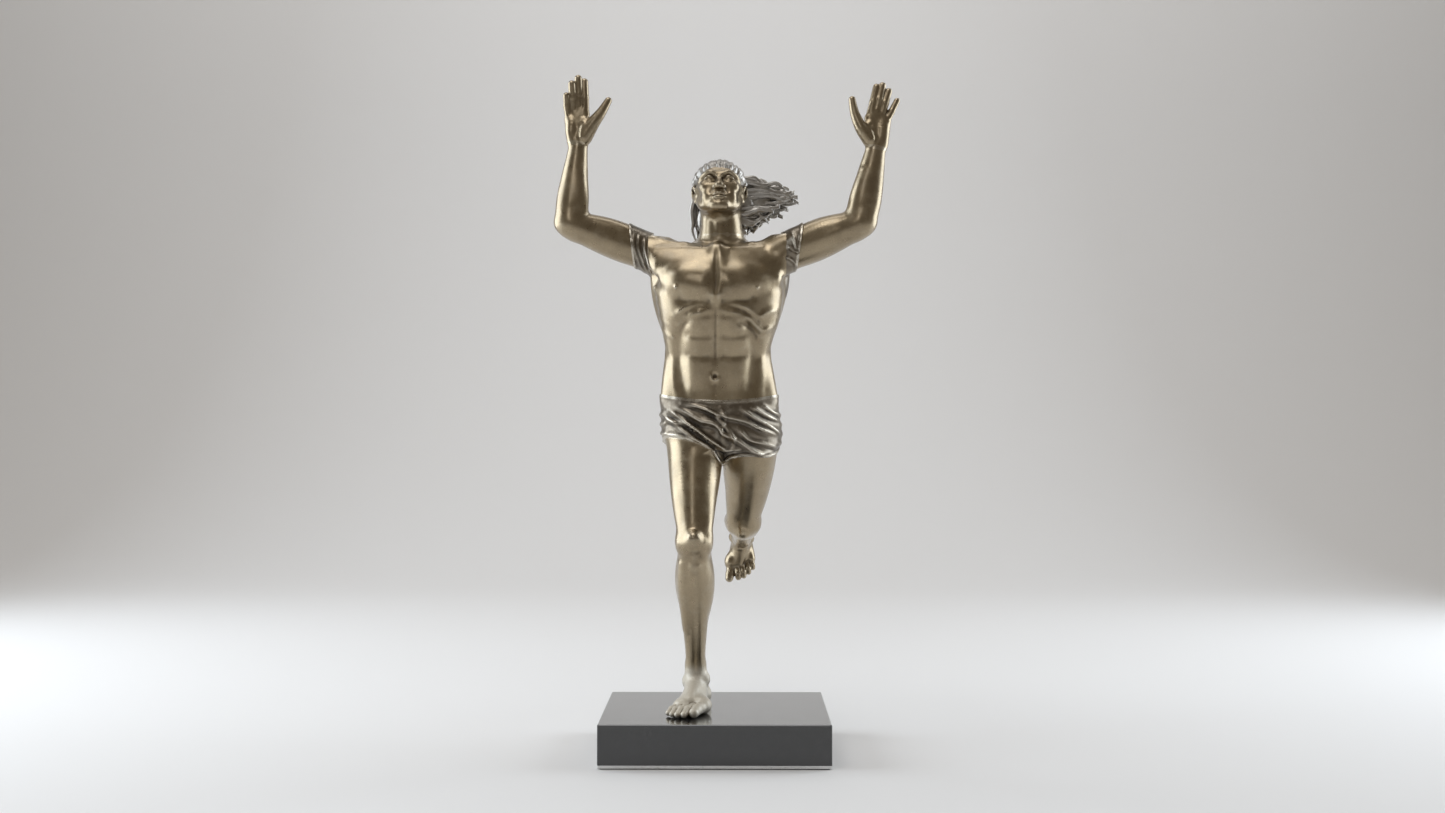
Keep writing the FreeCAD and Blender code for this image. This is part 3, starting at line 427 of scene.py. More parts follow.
def markHollows(data, rounds, scale):
    coords = coordsOf(data)
    normals = normalsOf(data)
    edges = np.empty(len(data.edges) * 2, np.int32)
    data.edges.foreach_get("vertices", edges)
    edges = edges.reshape(-1, 2)
    count = np.bincount(edges.ravel(), minlength=len(coords)).astype(float)
    count = np.maximum(count, 1.0)[:, None]
    soft = coords.copy()
    for _ in range(rounds):
        total = np.zeros_like(soft)
        np.add.at(total, edges[:, 0], soft[edges[:, 1]])
        np.add.at(total, edges[:, 1], soft[edges[:, 0]])
        soft = 0.4 * soft + 0.6 * total / count
    height = np.einsum("ij,ij->i", coords - soft, normals)
    value = np.clip(0.5 + height / scale * 0.5, 0.0, 1.0)
    layer = data.attributes.new("relief", "FLOAT", "POINT")
    layer.data.foreach_set("value", value.astype(np.float32))


# painted highlight: a per-point mask that makes the patina pale and matte, standing in for light falling on
# the standing foot
def markPaintedHighlight(data, amount):
    layer = data.attributes.new("painted_highlight", "FLOAT", "POINT")
    layer.data.foreach_set("value", amount(coordsOf(data)).astype(np.float32))


def finishPiece(name, data, material, nodes, painted_highlight=None, relief=(14, 0.55)):
    smallest = relief[0]
    markHollows(data, smallest, relief[1])
    markPaintedHighlight(data, painted_highlight or (lambda p: np.zeros(len(p))))
    data.transform(Matrix.Scale(0.001, 4) @ Matrix.Translation((0.0, 0.0, blockTop)))
    data.polygons.foreach_set("use_smooth", [True] * len(data.polygons))
    data.set_sharp_from_angle(angle=math.radians(sculpting["sharpDegrees"]))
    data.name = name
    data.materials.clear()
    data.materials.append(material)
    thing = bpy.data.objects.new(name, data)
    bpy.context.scene.collection.objects.link(thing)
    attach(thing, "root")
    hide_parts(*nodes)
    print("made", name, len(data.polygons), "faces", flush=True)
    return thing


# Landmarks of the figure, millimetres: x, y, height above the block

body = {
    "rightShoulder": vec(-44, 4, 328), "rightElbow": vec(-104.5, -12, 348),
    "rightWrist": vec(-98, -14, 405), "leftShoulder": vec(48, -8, 327), "leftElbow": vec(102.5, -30, 345.5),
    "leftWrist": vec(112.8, -34, 398), "rightHip": vec(-15, 13, 196), "rightKnee": vec(-15, -20.5, 121),
    "rightAnkle": vec(-14.5, 5, 26), "leftHip": vec(26, 13, 194), "leftKnee": vec(20.5, 48, 130),
    "leftAnkle": vec(19.7, 121, 114), "head": vec(2.8, -7, 371), "neck": 340.0, "waist": 222.0,
    "headTilt": -24.0,
}


def trunkForms():
    look = {
        "stations": [(186, 5, 15, 36, 27), (196, 4.5, 14, 42, 30), (210, 3.2, 12, 42.5, 29),
                     (222, 2.5, 9, 41.5, 26.5), (236, 1.9, 6, 39.6, 24.5), (253, 1.5, 2, 36.7, 23.5),
                     (266, 2, -1, 39.6, 25.5), (281, 3.2, -4, 43.5, 28), (298, 3, -6, 46, 29),
                     (312, 4.6, -5, 44.0, 27.5), (323, 3.8, -3, 39, 22), (331, 4.2, -1.5, 25, 16.5),
                     (338, 4.5, -2.5, 15.5, 14.2), (346, 4.3, -3.2, 13.6, 13.2),
                     (356, 3.8, -3.6, 12.6, 12.6)],
        "boxiness": 2.25,
    }
    forms = [column(look["stations"], look["boxiness"], 3.0)]
    for s in (-1, 1):
        middle = 0.6
        arm = 3.0 if s > 0 else 0.0
        outer = [(45, -9, 327), (44, -12, 322), (41, -15, 316), (36, -20, 308)]
        inner = [(4, -21.5, 324), (5, -25.5, 316), (7, -28.5, 308), (10, -29.0, 301.5)]
        sizes = [(6.5, 6.0), (7.5, 6.5), (8.0, 6.5), (7.6, 5.5)]
        for (ox, oy, oz), (ix, iy, iz), (near, far) in zip(outer, inner, sizes):
            forms.append(bone((middle + s * ix, iy, iz), (2 + s * ox + arm, oy, oz), near, far, 0.8, 5.5))
        forms += [
            egg((middle + s * 18.5, -22.0, 306.0), (17.5, 13.5, 14.0), None, 5.0),  # chest
            bone((3.0 + s * 41, 6, 318), (1.5 + s * 35, 10, 272), 9.5, 5.0, 3.0, 6.0),  # latissimus
            bone((4.5 + s * 5, 5, 342), (3 + s * 20, 5, 328), 6.5, 5.5, 0.0, 7.0),  # trapezius
            bone((3 + s * 20, 5, 328), (2 + s * 37, 4, 331.5), 5.5, 7.0, 0.0, 6.0),
            bone((4.5 + s * 4, -16.0, 329.5), (2 + s * 24, -14, 331), 1.8, 2.4, 0.0, 4.5),  # clavicle
            bone((2 + s * 24, -14, 331), (2 + s * 41, -8, 335), 2.4, 3.0, 0.0, 4.5),
            bone((4 + s * 10.5, 0, 360), (4.5 + s * 3.0, -16.0, 331), 3.8, 2.8, 1.0, 2.4),  # neck cord
            bone((3.5 + s * 11, 18, 322), (3.5 + s * 30, 16, 318), 5.0, 5.0, 0.0, 5.0),  # scapula
            bone((3.5 + s * 27, 17, 322), (3.5 + s * 17, 19, 296), 5.5, 3.5, 0.0, 5.0),
            bone((3.5 + s * 9, 17, 290), (3.5 + s * 10, 26, 222), 6.5, 7.5, 1.0, 5.0),  # back muscles
        ]
        for k in range(4):  # serratus
            z = 300 - 9.5 * k
            forms.append(bone((1.5 + s * (43.5 - 2.2 * k), -6, z + 2),
                              (1.5 + s * (35.5 - 1.6 * k), -19 + 1.2 * k, z - 5), 3.0, 2.2, 0.6, 2.0))
        forms += [
            egg((4 + s * 20, 29, 196), (19, 15, 18), None, 6.0),  # seat
            bone((1.6 + s * 33, 2, 254), (2.6 + s * 35.5, 2, 224), 4.0, 6.0, 0.0, 6.0),  # flank
        ]
    forms += chain([(4.5, -3, 334), (4.2, -3.5, 348), (3.4, -4.0, 362)], [15.0, 13.6, 13.2], 5.0)  # neck
    forms += [
        bone((4.3, -15.0, 338), (3.5, -16.5, 352), 2.6, 3.2, 0.5, 3.0),  # throat
        bone((1.2, -24.5, 328), (0.4, -32.5, 295), 4.2, 4.4, 0.0, 6.0),  # breastbone
    ]
    return forms


def trunkMarks():
    marks = [
        stroke([(1.0, 330), (0.6, 310), (0.2, 289)], 1.6, -0.8, -1),  # breastbone
        stroke([(0.2, 290), (0.0, 266), (-0.3, 244)], 2.2, -0.9, -1),
        stroke([(-0.3, 234), (0.0, 224)], 2.0, -0.5, -1),
        stroke([(-19, 284), (-24.5, 268), (-25, 246), (-21, 220)], 4.6, -2.0, -1),
        stroke([(21, 280), (26, 264), (26, 246), (23, 220)], 4.6, -2.0, -1),
        stroke([(-12, 287), (-13, 262), (-12, 226)], 7.0, 1.6, -1),
        stroke([(13, 287), (14, 262), (13, 226)], 7.0, 1.6, -1),
        stroke([(4, 289.5), (19, 288), (30, 279.5), (37, 283), (46, 287)], 2.3, 1.05, -1),
        stroke([(8, 283), (20, 281.5), (29, 273.5), (35, 270.5), (43, 275)], 2.3, 1.0, -1),
        stroke([(12, 285.6), (25, 281.5), (33, 276)], 2.2, -0.9, -1),
        stroke([(14, 277), (25, 272), (31, 264)], 2.2, -1.0, -1),
        stroke([(-4, 289.5), (-18, 288), (-28, 281)], 2.4, 1.0, -1),
        stroke([(-8, 283), (-20, 280), (-28, 272)], 2.4, 1.0, -1),
        stroke([(-3.6, 240.5), (-2.4, 236.4), (0.8, 235.4), (2.6, 237.6)], 0.9, 0.9, -1),  # navel rim
        stroke([(3.4, 334), (2.4, 312), (4.2, 286), (2.8, 256), (3.4, 226)], 4.6, -2.1, 1),  # spine
    ]
    for z, depth in ((280.5, 0.7), (266.5, 0.8), (252.5, 0.7)):
        marks += [
            stroke([(-23, z + 2.0), (-12, z), (-1, z + 0.5)], 2.8, -depth, -1),
            stroke([(2, z + 0.5), (13, z), (24, z + 2.0)], 2.8, -depth, -1),
        ]
    marks += [
        stroke([(-29, 297), (-20, 290.5), (-8, 289.5), (0, 291.5)], 3.2, -1.2, -1),  # under the chest
        stroke([(1, 291.5), (9, 289.5), (21, 290.5), (31, 298)], 3.2, -1.2, -1),
    ]
    return marks


def navelAndNipples():
    return [egg((-0.3, -21.5, 238.2), (2.0, 3.4, 2.4), None, 1.8, True),
            egg((-27.5, -32.5, 300.5), (1.4, 1.6, 1.4), None, 1.2),
            egg((29.5, -31.8, 300.0), (1.4, 1.6, 1.4), None, 1.2)]


def armForms(side):
    right = side == "right"
    shoulder, elbow, wrist = body[side + "Shoulder"], body[side + "Elbow"], body[side + "Wrist"]
    out = -1.0 if right else 1.0
    upperWay = unit(elbow - shoulder)
    foreWay = unit(wrist - elbow)
    girth = 1.0 if right else 1.05
    up = vec(0, 0, 1)
    forms = chain([shoulder - upperWay * 10, shoulder + upperWay * 14, shoulder + upperWay * 36,
                   elbow - upperWay * 6],
                  [12.5, 13.3 * girth, 12.5 * girth, 11.0], 6.0)
    forms += chain([elbow - upperWay * 6, elbow + foreWay * 1.5], [10.0, 10.2], 4.0)
    forms += chain([elbow + foreWay * 1.5, elbow + foreWay * 15, elbow + foreWay * 33,
                    elbow + foreWay * 47, wrist + foreWay * 2],
                   [10.2, 11.2, 9.6, 7.7, 6.4], 4.0, 0.88)
    forms += [
        bone(shoulder + upperWay * 10 + up * 4.5, elbow - upperWay * 9 + up * 3.5, 5.5, 4.5, 4.6 * girth,
             4.0),
        bone(shoulder + upperWay * 6 - up * 4.5, elbow - upperWay * 6 - up * 2.5, 6.5, 4.5, 4.2 * girth,
             4.0),
        egg(shoulder + vec(out * 1.0, 1.0, 1.5), (13.0, 13.5, 13.0), None, 6.0),
        bone(elbow + upperWay * 5.5 - foreWay * 1.5, elbow - upperWay * 2 - foreWay * 5.0, 4.4, 3.5, 0.0,
             3.5),
        bone(elbow - upperWay * 7 + foreWay * 4 + vec(0, -3, 0),
             elbow + foreWay * 36 - vec(out * 3.5, 3, 0), 4.8, 3.2, 2.2, 3.0),
        bone(elbow + upperWay * 4 + foreWay * 5, elbow + foreWay * 38 + vec(out * 3.0, 1, 0), 5.0, 3.0, 1.8,
             3.0),
    ]
    return forms


def handForms(side):
    right = side == "right"
    wrist = body[side + "Wrist"]
    if right:
        knuckles = [(-93.5, -14.5, 426), (-97.2, -14.2, 427.5), (-101.0, -14.0, 426),
                    (-104.6, -14.2, 422.5)]
        bends = [(-93.3, -16.0, 437.5), (-97.4, -16.5, 440), (-101.8, -17.0, 437.5), (-106.0, -16.5, 431.5)]
        tips = [(-93.6, -15.5, 449.0), (-97.8, -18.0, 450.8), (-102.2, -20.0, 446.5),
                (-106.2, -19.0, 438.5)]
        thumb = [(-93.5, -16.0, 410), (-87.5, -18.0, 418.5), (-81.0, -18.5, 427), (-76.3, -18.0, 435)]
        thumbSize = [6.0, 4.8, 3.5, 2.6]
        heel = [egg((-93.5, -17.0, 415), (5.2, 4.4, 8.5), None, 2.5),
                egg((-102.5, -16.6, 414.5), (4.2, 4.0, 8.5), None, 2.5)]
        size = [3.0, 3.05, 2.95, 2.6]
    else:
        knuckles = [(108.2, -34.5, 418.5), (112.2, -34.2, 419.8), (116.2, -34.0, 419), (119.8, -34.2, 416)]
        bends = [(110.8, -35.0, 429.5), (115.0, -35.0, 431.5), (119.0, -34.8, 429), (123.8, -34.2, 423.5)]
        tips = [(113.2, -34.0, 440.5), (117.4, -33.8, 441.5), (121.8, -33.8, 437.5), (127.6, -33.4, 431.0)]
        thumb = [(108.0, -36.5, 403.5), (102.0, -38.5, 411), (97.6, -38.5, 421), (95.8, -37.5, 431)]
        thumbSize = [5.4, 4.4, 3.3, 2.5]
        heel = [egg((107.8, -36.8, 408), (4.8, 4.2, 8.0), None, 2.5),
                egg((116.8, -36.4, 408), (4.2, 3.8, 8.5), None, 2.5)]
        size = [2.85, 2.9, 2.75, 2.4]
    forms = list(heel)
    for k in range(4):
        root = wrist + vec((knuckles[k][0] - wrist[0]) * 0.55, 0.0, 2.0)
        forms += [
            bone(root, knuckles[k], 4.2, 3.6, 0.0, 3.0),
            bone(knuckles[k], bends[k], size[k] * 1.08, size[k], 0.0, 0.9),
            bone(bends[k], tips[k], size[k], size[k] * 0.9, 0.0, 0.7),
        ]
    forms += chain(thumb, thumbSize, 1.6)
    return forms


def handMarks(side):
    if side == "right":
        return [stroke([(-104, -21, 419), (-98, -21, 421.5), (-92, -21, 421)], 0.9, -0.7),
                stroke([(-103, -21, 424), (-98, -20, 424.5), (-93, -20, 424)], 0.8, -0.5),
                stroke([(-97, -21, 408), (-97.5, -21, 414), (-94, -21, 421)], 1.0, -0.8)]
    return [stroke([(119, -40, 411.5), (113, -40, 413.5), (107, -40, 413)], 0.9, -0.7),
            stroke([(112, -41, 400), (111.5, -41, 407), (107.5, -40, 414)], 1.0, -0.8)]


def legForms(side):
    hip, knee, ankle = body[side + "Hip"], body[side + "Knee"], body[side + "Ankle"]
    thigh = unit(knee - hip)
    shin = unit(ankle - knee)
    across = vec(1, 0, 0)
    kneeFront = unit(thigh - shin)  # the way the kneecap faces

    def frontOf(way):
        front = np.cross(across, way)
        return unit(front) * (1 if np.dot(front, kneeFront) > 0 else -1)

    frontThigh, frontShin = frontOf(thigh), frontOf(shin)
    inner = 1.0 if side == "right" else -1.0
    thighLength = np.linalg.norm(knee - hip)
    shinLength = np.linalg.norm(ankle - knee)

    def onThigh(share, sideways=0.0, forward=0.0):
        return hip + thigh * thighLength * share + across * sideways * inner + frontThigh * forward

    def onShin(share, sideways=0.0, forward=0.0):
        return knee + shin * shinLength * share + across * sideways * inner + frontShin * forward

    forms = chain([onThigh(0.0), onThigh(0.3), onThigh(0.62), onThigh(0.86), onThigh(1.0)],
                  [21.6 if side == "right" else 20.0, 19.0, 15.4, 12.3, 11.4], 6.0)
    forms += chain([onShin(0.0, 0, -1), onShin(0.14, 0, -1), onShin(0.34, 0, -1.5), onShin(0.62, 0, -1.0),
                    onShin(0.86), onShin(1.06)],
                   [11.0, 11.0, 11.5, 9.2, 7.3, 7.0], 6.0)
    forms += [
        bone(onThigh(0.1, -1, 7), onThigh(0.84, 0, 3.5), 9.0, 6.0, 2.0, 4.0),  # front of the thigh
        bone(onThigh(0.2, -9, 2), onThigh(0.88, -7.5, 2.0), 8.0, 4.2, 2.0, 3.5),  # outer
        bone(onThigh(0.45, 6, 3), onThigh(0.93, 7.5, 3.5), 7.0, 5.0, 1.2, 3.5),  # inner, low
        bone(onThigh(0.12, 8, -4), onThigh(0.7, 6, -3), 9.5, 5.0, 1.5, 5.0),  # inner, high
        bone(onThigh(0.2, -6, -9), onThigh(0.98, -7, -6.5), 7.5, 3.2, 1.5, 4.5),  # hamstrings
        bone(onThigh(0.2, 6, -9), onThigh(0.98, 7, -6.5), 7.5, 3.0, 1.5, 4.5),
    ]
    cap = knee + kneeFront * 8.6
    capRise = 2.5 if side == "right" else 1.25
    forms += [
        bone(cap - shin * capRise, cap + shin * 3.5, 5.6, 4.6, 0.4, 2.4),
        bone(cap + shin * 3, onShin(0.17, 0, 8.2), 2.6, 2.6, 0.0, 2.6),  # tendon
        bone(onShin(0.16, 1, 8.0), onShin(1.05, 1.5, 3.2), 2.6, 2.2, 0.0, 4.5),  # shin edge
        bone(onShin(0.12, 5.8, -5), onShin(0.6, 4.6, -6.0), 5.8, 4.6, 3.8, 3.8),  # calf, inner
        bone(onShin(0.12, -5.8, -5), onShin(0.55, -5.2, -6.0), 5.8, 4.5, 3.4, 3.8),  # calf, outer
        bone(onShin(0.16, -6.5, 2), onShin(0.66, -4.5, 1.5), 4.4, 3.6, 1.2, 3.4),  # outer shin
        bone(onShin(0.45, 0, -5.5), onShin(1.05, 0, -6.5), 4.8, 2.9, 0.0, 5.0),  # heel cord
        egg(knee + across * 9.0 * inner - kneeFront * 1, (3.6, 6, 7), None, 4.0),
        egg(knee - across * 9.0 * inner - kneeFront * 1, (3.6, 6, 7), None, 4.0),
    ]
    return forms


def toeForms(toes, taper, blend):
    # each toe runs from its root over a joint to its tip
    forms = []
    for root, joint, tip, size in toes:
        forms += [
            bone(root, joint, size * 1.05, size, 0.0, blend),
            bone(joint, tip, size, size * taper, 0.0, 0.8),
        ]
    return forms


def rightFootForms():
    forms = [
        bone((-14.5, 5, 30), (-14.2, 4, 15), 6.8, 7.6, 0.0, 4.0),
        egg((-10.5, 15.5, 6.5), (7.4, 8.0, 7.2), None, 4.0),
        bone((-12.0, 13.5, 30), (-10.6, 17.5, 9), 2.7, 4.6, 0.0, 4.0),
        bone((-14.5, 2, 16), (-17.5, -19, 8.5), 7.4, 4.6, 0.6, 4.0),
        bone((-12.0, 8, 8), (-10.0, -20, 6.0), 6.0, 5.6, -0.6, 4.0),
        bone((-17.5, 9, 6), (-25.5, -20, 5.0), 6.0, 4.6, 0.0, 4.0),
        bone((-14.0, -2, 11), (-22.0, -22, 6), 6.5, 4.2, 0.0, 4.0),
        egg((-8.4, -20.5, 5.6), (6.0, 7.5, 5.4), None, 3.5),
        egg((-7.6, 3.5, 20), (3.6, 4.2, 4.4), None, 3.0),
        egg((-21.0, 6.5, 18), (3.2, 4.0, 4.2), None, 3.0),
    ]
    toes = [((-9.8, -25, 5.0), (-12.6, -32.5, 4.9), (-14.6, -38.5, 3.7), 3.9),
            ((-15.8, -26, 5.4), (-19.0, -34.0, 5.4), (-21.4, -40.0, 2.9), 2.7),
            ((-20.2, -25, 5.2), (-23.6, -33.0, 5.2), (-26.0, -38.8, 2.7), 2.5),
            ((-24.2, -23, 4.8), (-27.6, -31.0, 4.8), (-29.8, -36.4, 2.5), 2.35),
            ((-27.6, -19.5, 4.2), (-30.6, -27.0, 4.2), (-32.6, -32.0, 2.4), 2.25)]
    return forms + toeForms(toes, 0.9, 1.2)


def leftFootForms():
    forms = [
        bone((19.7, 118, 114), (19.8, 130, 112.5), 6.8, 7.6, 0.0, 4.0),
        egg((20.0, 139.6, 116.0), (7.0, 6.0, 8.0), None, 4.0),
        bone((19.8, 124, 120), (20.0, 139, 120), 2.9, 4.2, 0.0, 4.0),
        bone((19.6, 131, 111), (17.0, 132.0, 92), 7.2, 4.8, 0.6, 4.0),
        bone((18.0, 138.5, 112), (12.5, 134.5, 91), 5.8, 5.0, 0.0, 4.0),
        bone((22.0, 138.5, 112), (26.5, 135.0, 95), 5.6, 4.4, 0.0, 4.0),
        egg((11.0, 134.0, 92.5), (5.2, 5.4, 6.5), None, 3.5),
        egg((12.6, 127.5, 113.0), (3.4, 4.2, 4.0), None, 3.0),
        egg((26.6, 128.5, 112.0), (3.2, 4.0, 4.0), None, 3.0),
    ]
    toes = [((11.2, 133.5, 88), (10.2, 131.0, 82.5), (9.6, 129.5, 79.2), 3.6),
            ((16.0, 132.5, 89), (16.6, 129.5, 83.5), (16.9, 129.8, 79.8), 2.6),
            ((20.0, 133.0, 90), (21.0, 130.0, 84.5), (21.4, 130.4, 81.0), 2.45),
            ((23.8, 133.8, 92), (25.0, 131.0, 87.0), (25.4, 131.6, 83.8), 2.3),
            ((27.2, 135.0, 94.5), (28.4, 132.6, 90.2), (28.8, 133.0, 87.4), 2.2)]
    return forms + toeForms(toes, 0.92, 1.0)


def headPoint(x, y, z):
    # from the head's own upright measures to the tilted head on the figure
    turn = math.radians(body["headTilt"])
    return body["head"] + vec(x, y * math.cos(turn) - z * math.sin(turn),
                              y * math.sin(turn) + z * math.cos(turn))


def headTurn(lean=0.0, swing=0.0):
    turn = Matrix.Rotation(math.radians(body["headTilt"] + lean), 3,
                           "X") @ Matrix.Rotation(math.radians(swing), 3, "Z")
    return np.array(turn)


def headForms():
    face = {
        "skull": (16.0, 18.5, 17.0), "mask": (13.2, 14.0, 18.0), "eyeApart": 6.9, "eyeSize": 3.5,
        "noseReach": 23.0, "mouthLevel": -14.6, "chinLevel": -21.0, "earOut": 16.6,
    }
    def ball(x, y, z, radii, blend=3.0, carve=False, lean=0.0, swing=0.0):
        return egg(headPoint(x, y, z), radii, headTurn(lean, swing), blend, carve)

    def rib(points, radii, blend=2.0):
        return chain([headPoint(*point) for point in points], radii, blend)

    forms = [
        ball(0, 2.0, 3.0, face["skull"], 5.0),
        ball(0, -5.5, -5.0, face["mask"], 5.0),
        ball(0, -4.5, 4.5, (14.0, 12.5, 12.5), 5.0),
    ]
    for s in (-1, 1):
        # jaw
        forms += rib([(s * 12.6, 0, -8), (s * 10.6, -6, -14.5), (s * 4.0, -14.5, -20.0)], [4.2, 4.2, 3.8],
                     4.0)
        forms.append(ball(s * 9.2, -13.2, -4.8, (4.8, 4.0, 3.6), 4.0))  # cheek
        forms += rib([(s * 10.5, -12.5, -2.0), (s * 15.0, -4.0, -0.5)], [2.6, 2.4], 3.0)
        forms.append(ball(s * 7.6, -12.8, -12.0, (4.6, 4.6, 5.0), 3.5))
        forms += rib([(s * 2.4, -17.8, 3.9), (s * 6.6, -18.2, 5.0), (s * 11.6, -14.2, 4.0),
                      (s * 13.4, -10.5, 1.5)],
                     [1.7, 2.0, 1.8, 1.6], 2.0)  # brow
        forms += [
            ball(s * face["eyeApart"], -19.2, 0.3, (4.4, 3.6, 3.1), 1.6, True),
            ball(s * 3.4, -18.8, -0.6, (1.6, 2.0, 2.6), 1.6, True),
            ball(s * face["eyeApart"], -14.0, 0.1, (face["eyeSize"],) * 3, 0.5),
        ]
        forms += rib([(s * 3.7, -16.4, -0.5), (s * 5.2, -17.5, 1.5), (s * 7.2, -17.9, 2.0),
                      (s * 9.2, -17.0, 1.3), (s * 10.6, -15.2, -0.3)], [0.55, 0.8, 0.85, 0.8, 0.6], 0.7)
        forms += rib([(s * 3.7, -16.4, -0.6), (s * 5.4, -17.2, -1.7), (s * 7.4, -17.4, -2.1),
                      (s * 9.4, -16.5, -1.5), (s * 10.6, -15.2, -0.4)], [0.45, 0.6, 0.65, 0.6, 0.5], 0.7)
        forms += [
            ball(s * 2.9, -20.0, -8.3, (2.0, 2.6, 1.9), 1.3),  # wing of the nose
            ball(s * 1.5, -21.6, -10.2, (0.9, 1.3, 0.9), 0.5, True),
            ball(s * face["earOut"], 1.8, -2.0, (1.9, 4.0, 6.0), 1.5, False, -12, s * -18),
        ]
        forms += rib([(s * 17.2, -1.6, -0.5), (s * 18.3, -1.4, 3.2), (s * 19.1, 1.4, 5.0),
                      (s * 19.5, 4.6, 3.6), (s * 19.2, 5.4, -0.5), (s * 18.0, 3.4, -5.0),
                      (s * 17.2, 0.4, -7.6)],
                     [0.8, 0.9, 1.0, 1.0, 0.95, 0.9, 0.9], 1.0)
        forms.append(ball(s * 18.9, 1.2, -0.6, (1.2, 2.0, 2.9), 0.9, True, -12, 0))
    forms += rib([(0, -17.0, 4.0), (0, -17.4, 1.2), (0, -20.6, -4.0), (0, -face["noseReach"] + 0.8, -7.2)],
                 [2.0, 1.5, 1.7, 2.2], 1.8)
    forms.append(ball(0, -21.9, -7.9, (2.4, 2.4, 2.1), 1.5))
    mouth = face["mouthLevel"]
    forms.append(ball(0, -14.6, mouth, (7.2, 5.0, 5.6), 3.0))
    forms += rib([(-5.4, -17.3, mouth - 0.2), (-3.0, -19.4, mouth + 0.7), (-1.0, -20.3, mouth + 1.3),
                  (0, -20.2, mouth + 1.0), (1.0, -20.3, mouth + 1.3), (3.0, -19.4, mouth + 0.7),
                  (5.4, -17.3, mouth - 0.2)],
                 [0.5, 0.95, 1.1, 1.05, 1.1, 0.95, 0.5], 0.9)
    forms += rib([(-4.8, -17.4, mouth - 0.9), (-2.2, -19.3, mouth - 1.7), (0, -19.8, mouth - 1.9),
                  (2.2, -19.3, mouth - 1.7), (4.8, -17.4, mouth - 0.9)], [0.7, 1.4, 1.55, 1.4, 0.7], 1.5)
    forms.append(ball(0, -16.2, face["chinLevel"], (5.0, 4.2, 3.6), 2.6))
    return forms


def headMarks():
    mouth = -14.9
    path = [headPoint(*point) for point in
            ((-5.6, -17.6, mouth - 0.1), (-3, -20.0, mouth), (0, -21.2, mouth + 0.1), (3, -20.0, mouth),
             (5.6, -17.6, mouth - 0.1))]
    marks = [stroke(path, 0.55, -1.0)]
    marks.append(stroke([headPoint(0, -21.4, -11.2), headPoint(0, -20.9, -13.0)], 0.8, -0.5))
    for s in (-1, 1):
        marks.append(stroke([headPoint(s * 4.0, -19.4, -8.2), headPoint(s * 6.6, -17.6, -12.2)], 1.2, -0.6))
    marks.append(stroke([headPoint(-3.8, -18.4, -18.4), headPoint(0, -19.4, -18.2),
                         headPoint(3.8, -18.4, -18.4)], 1.8, -0.35))
    return marks


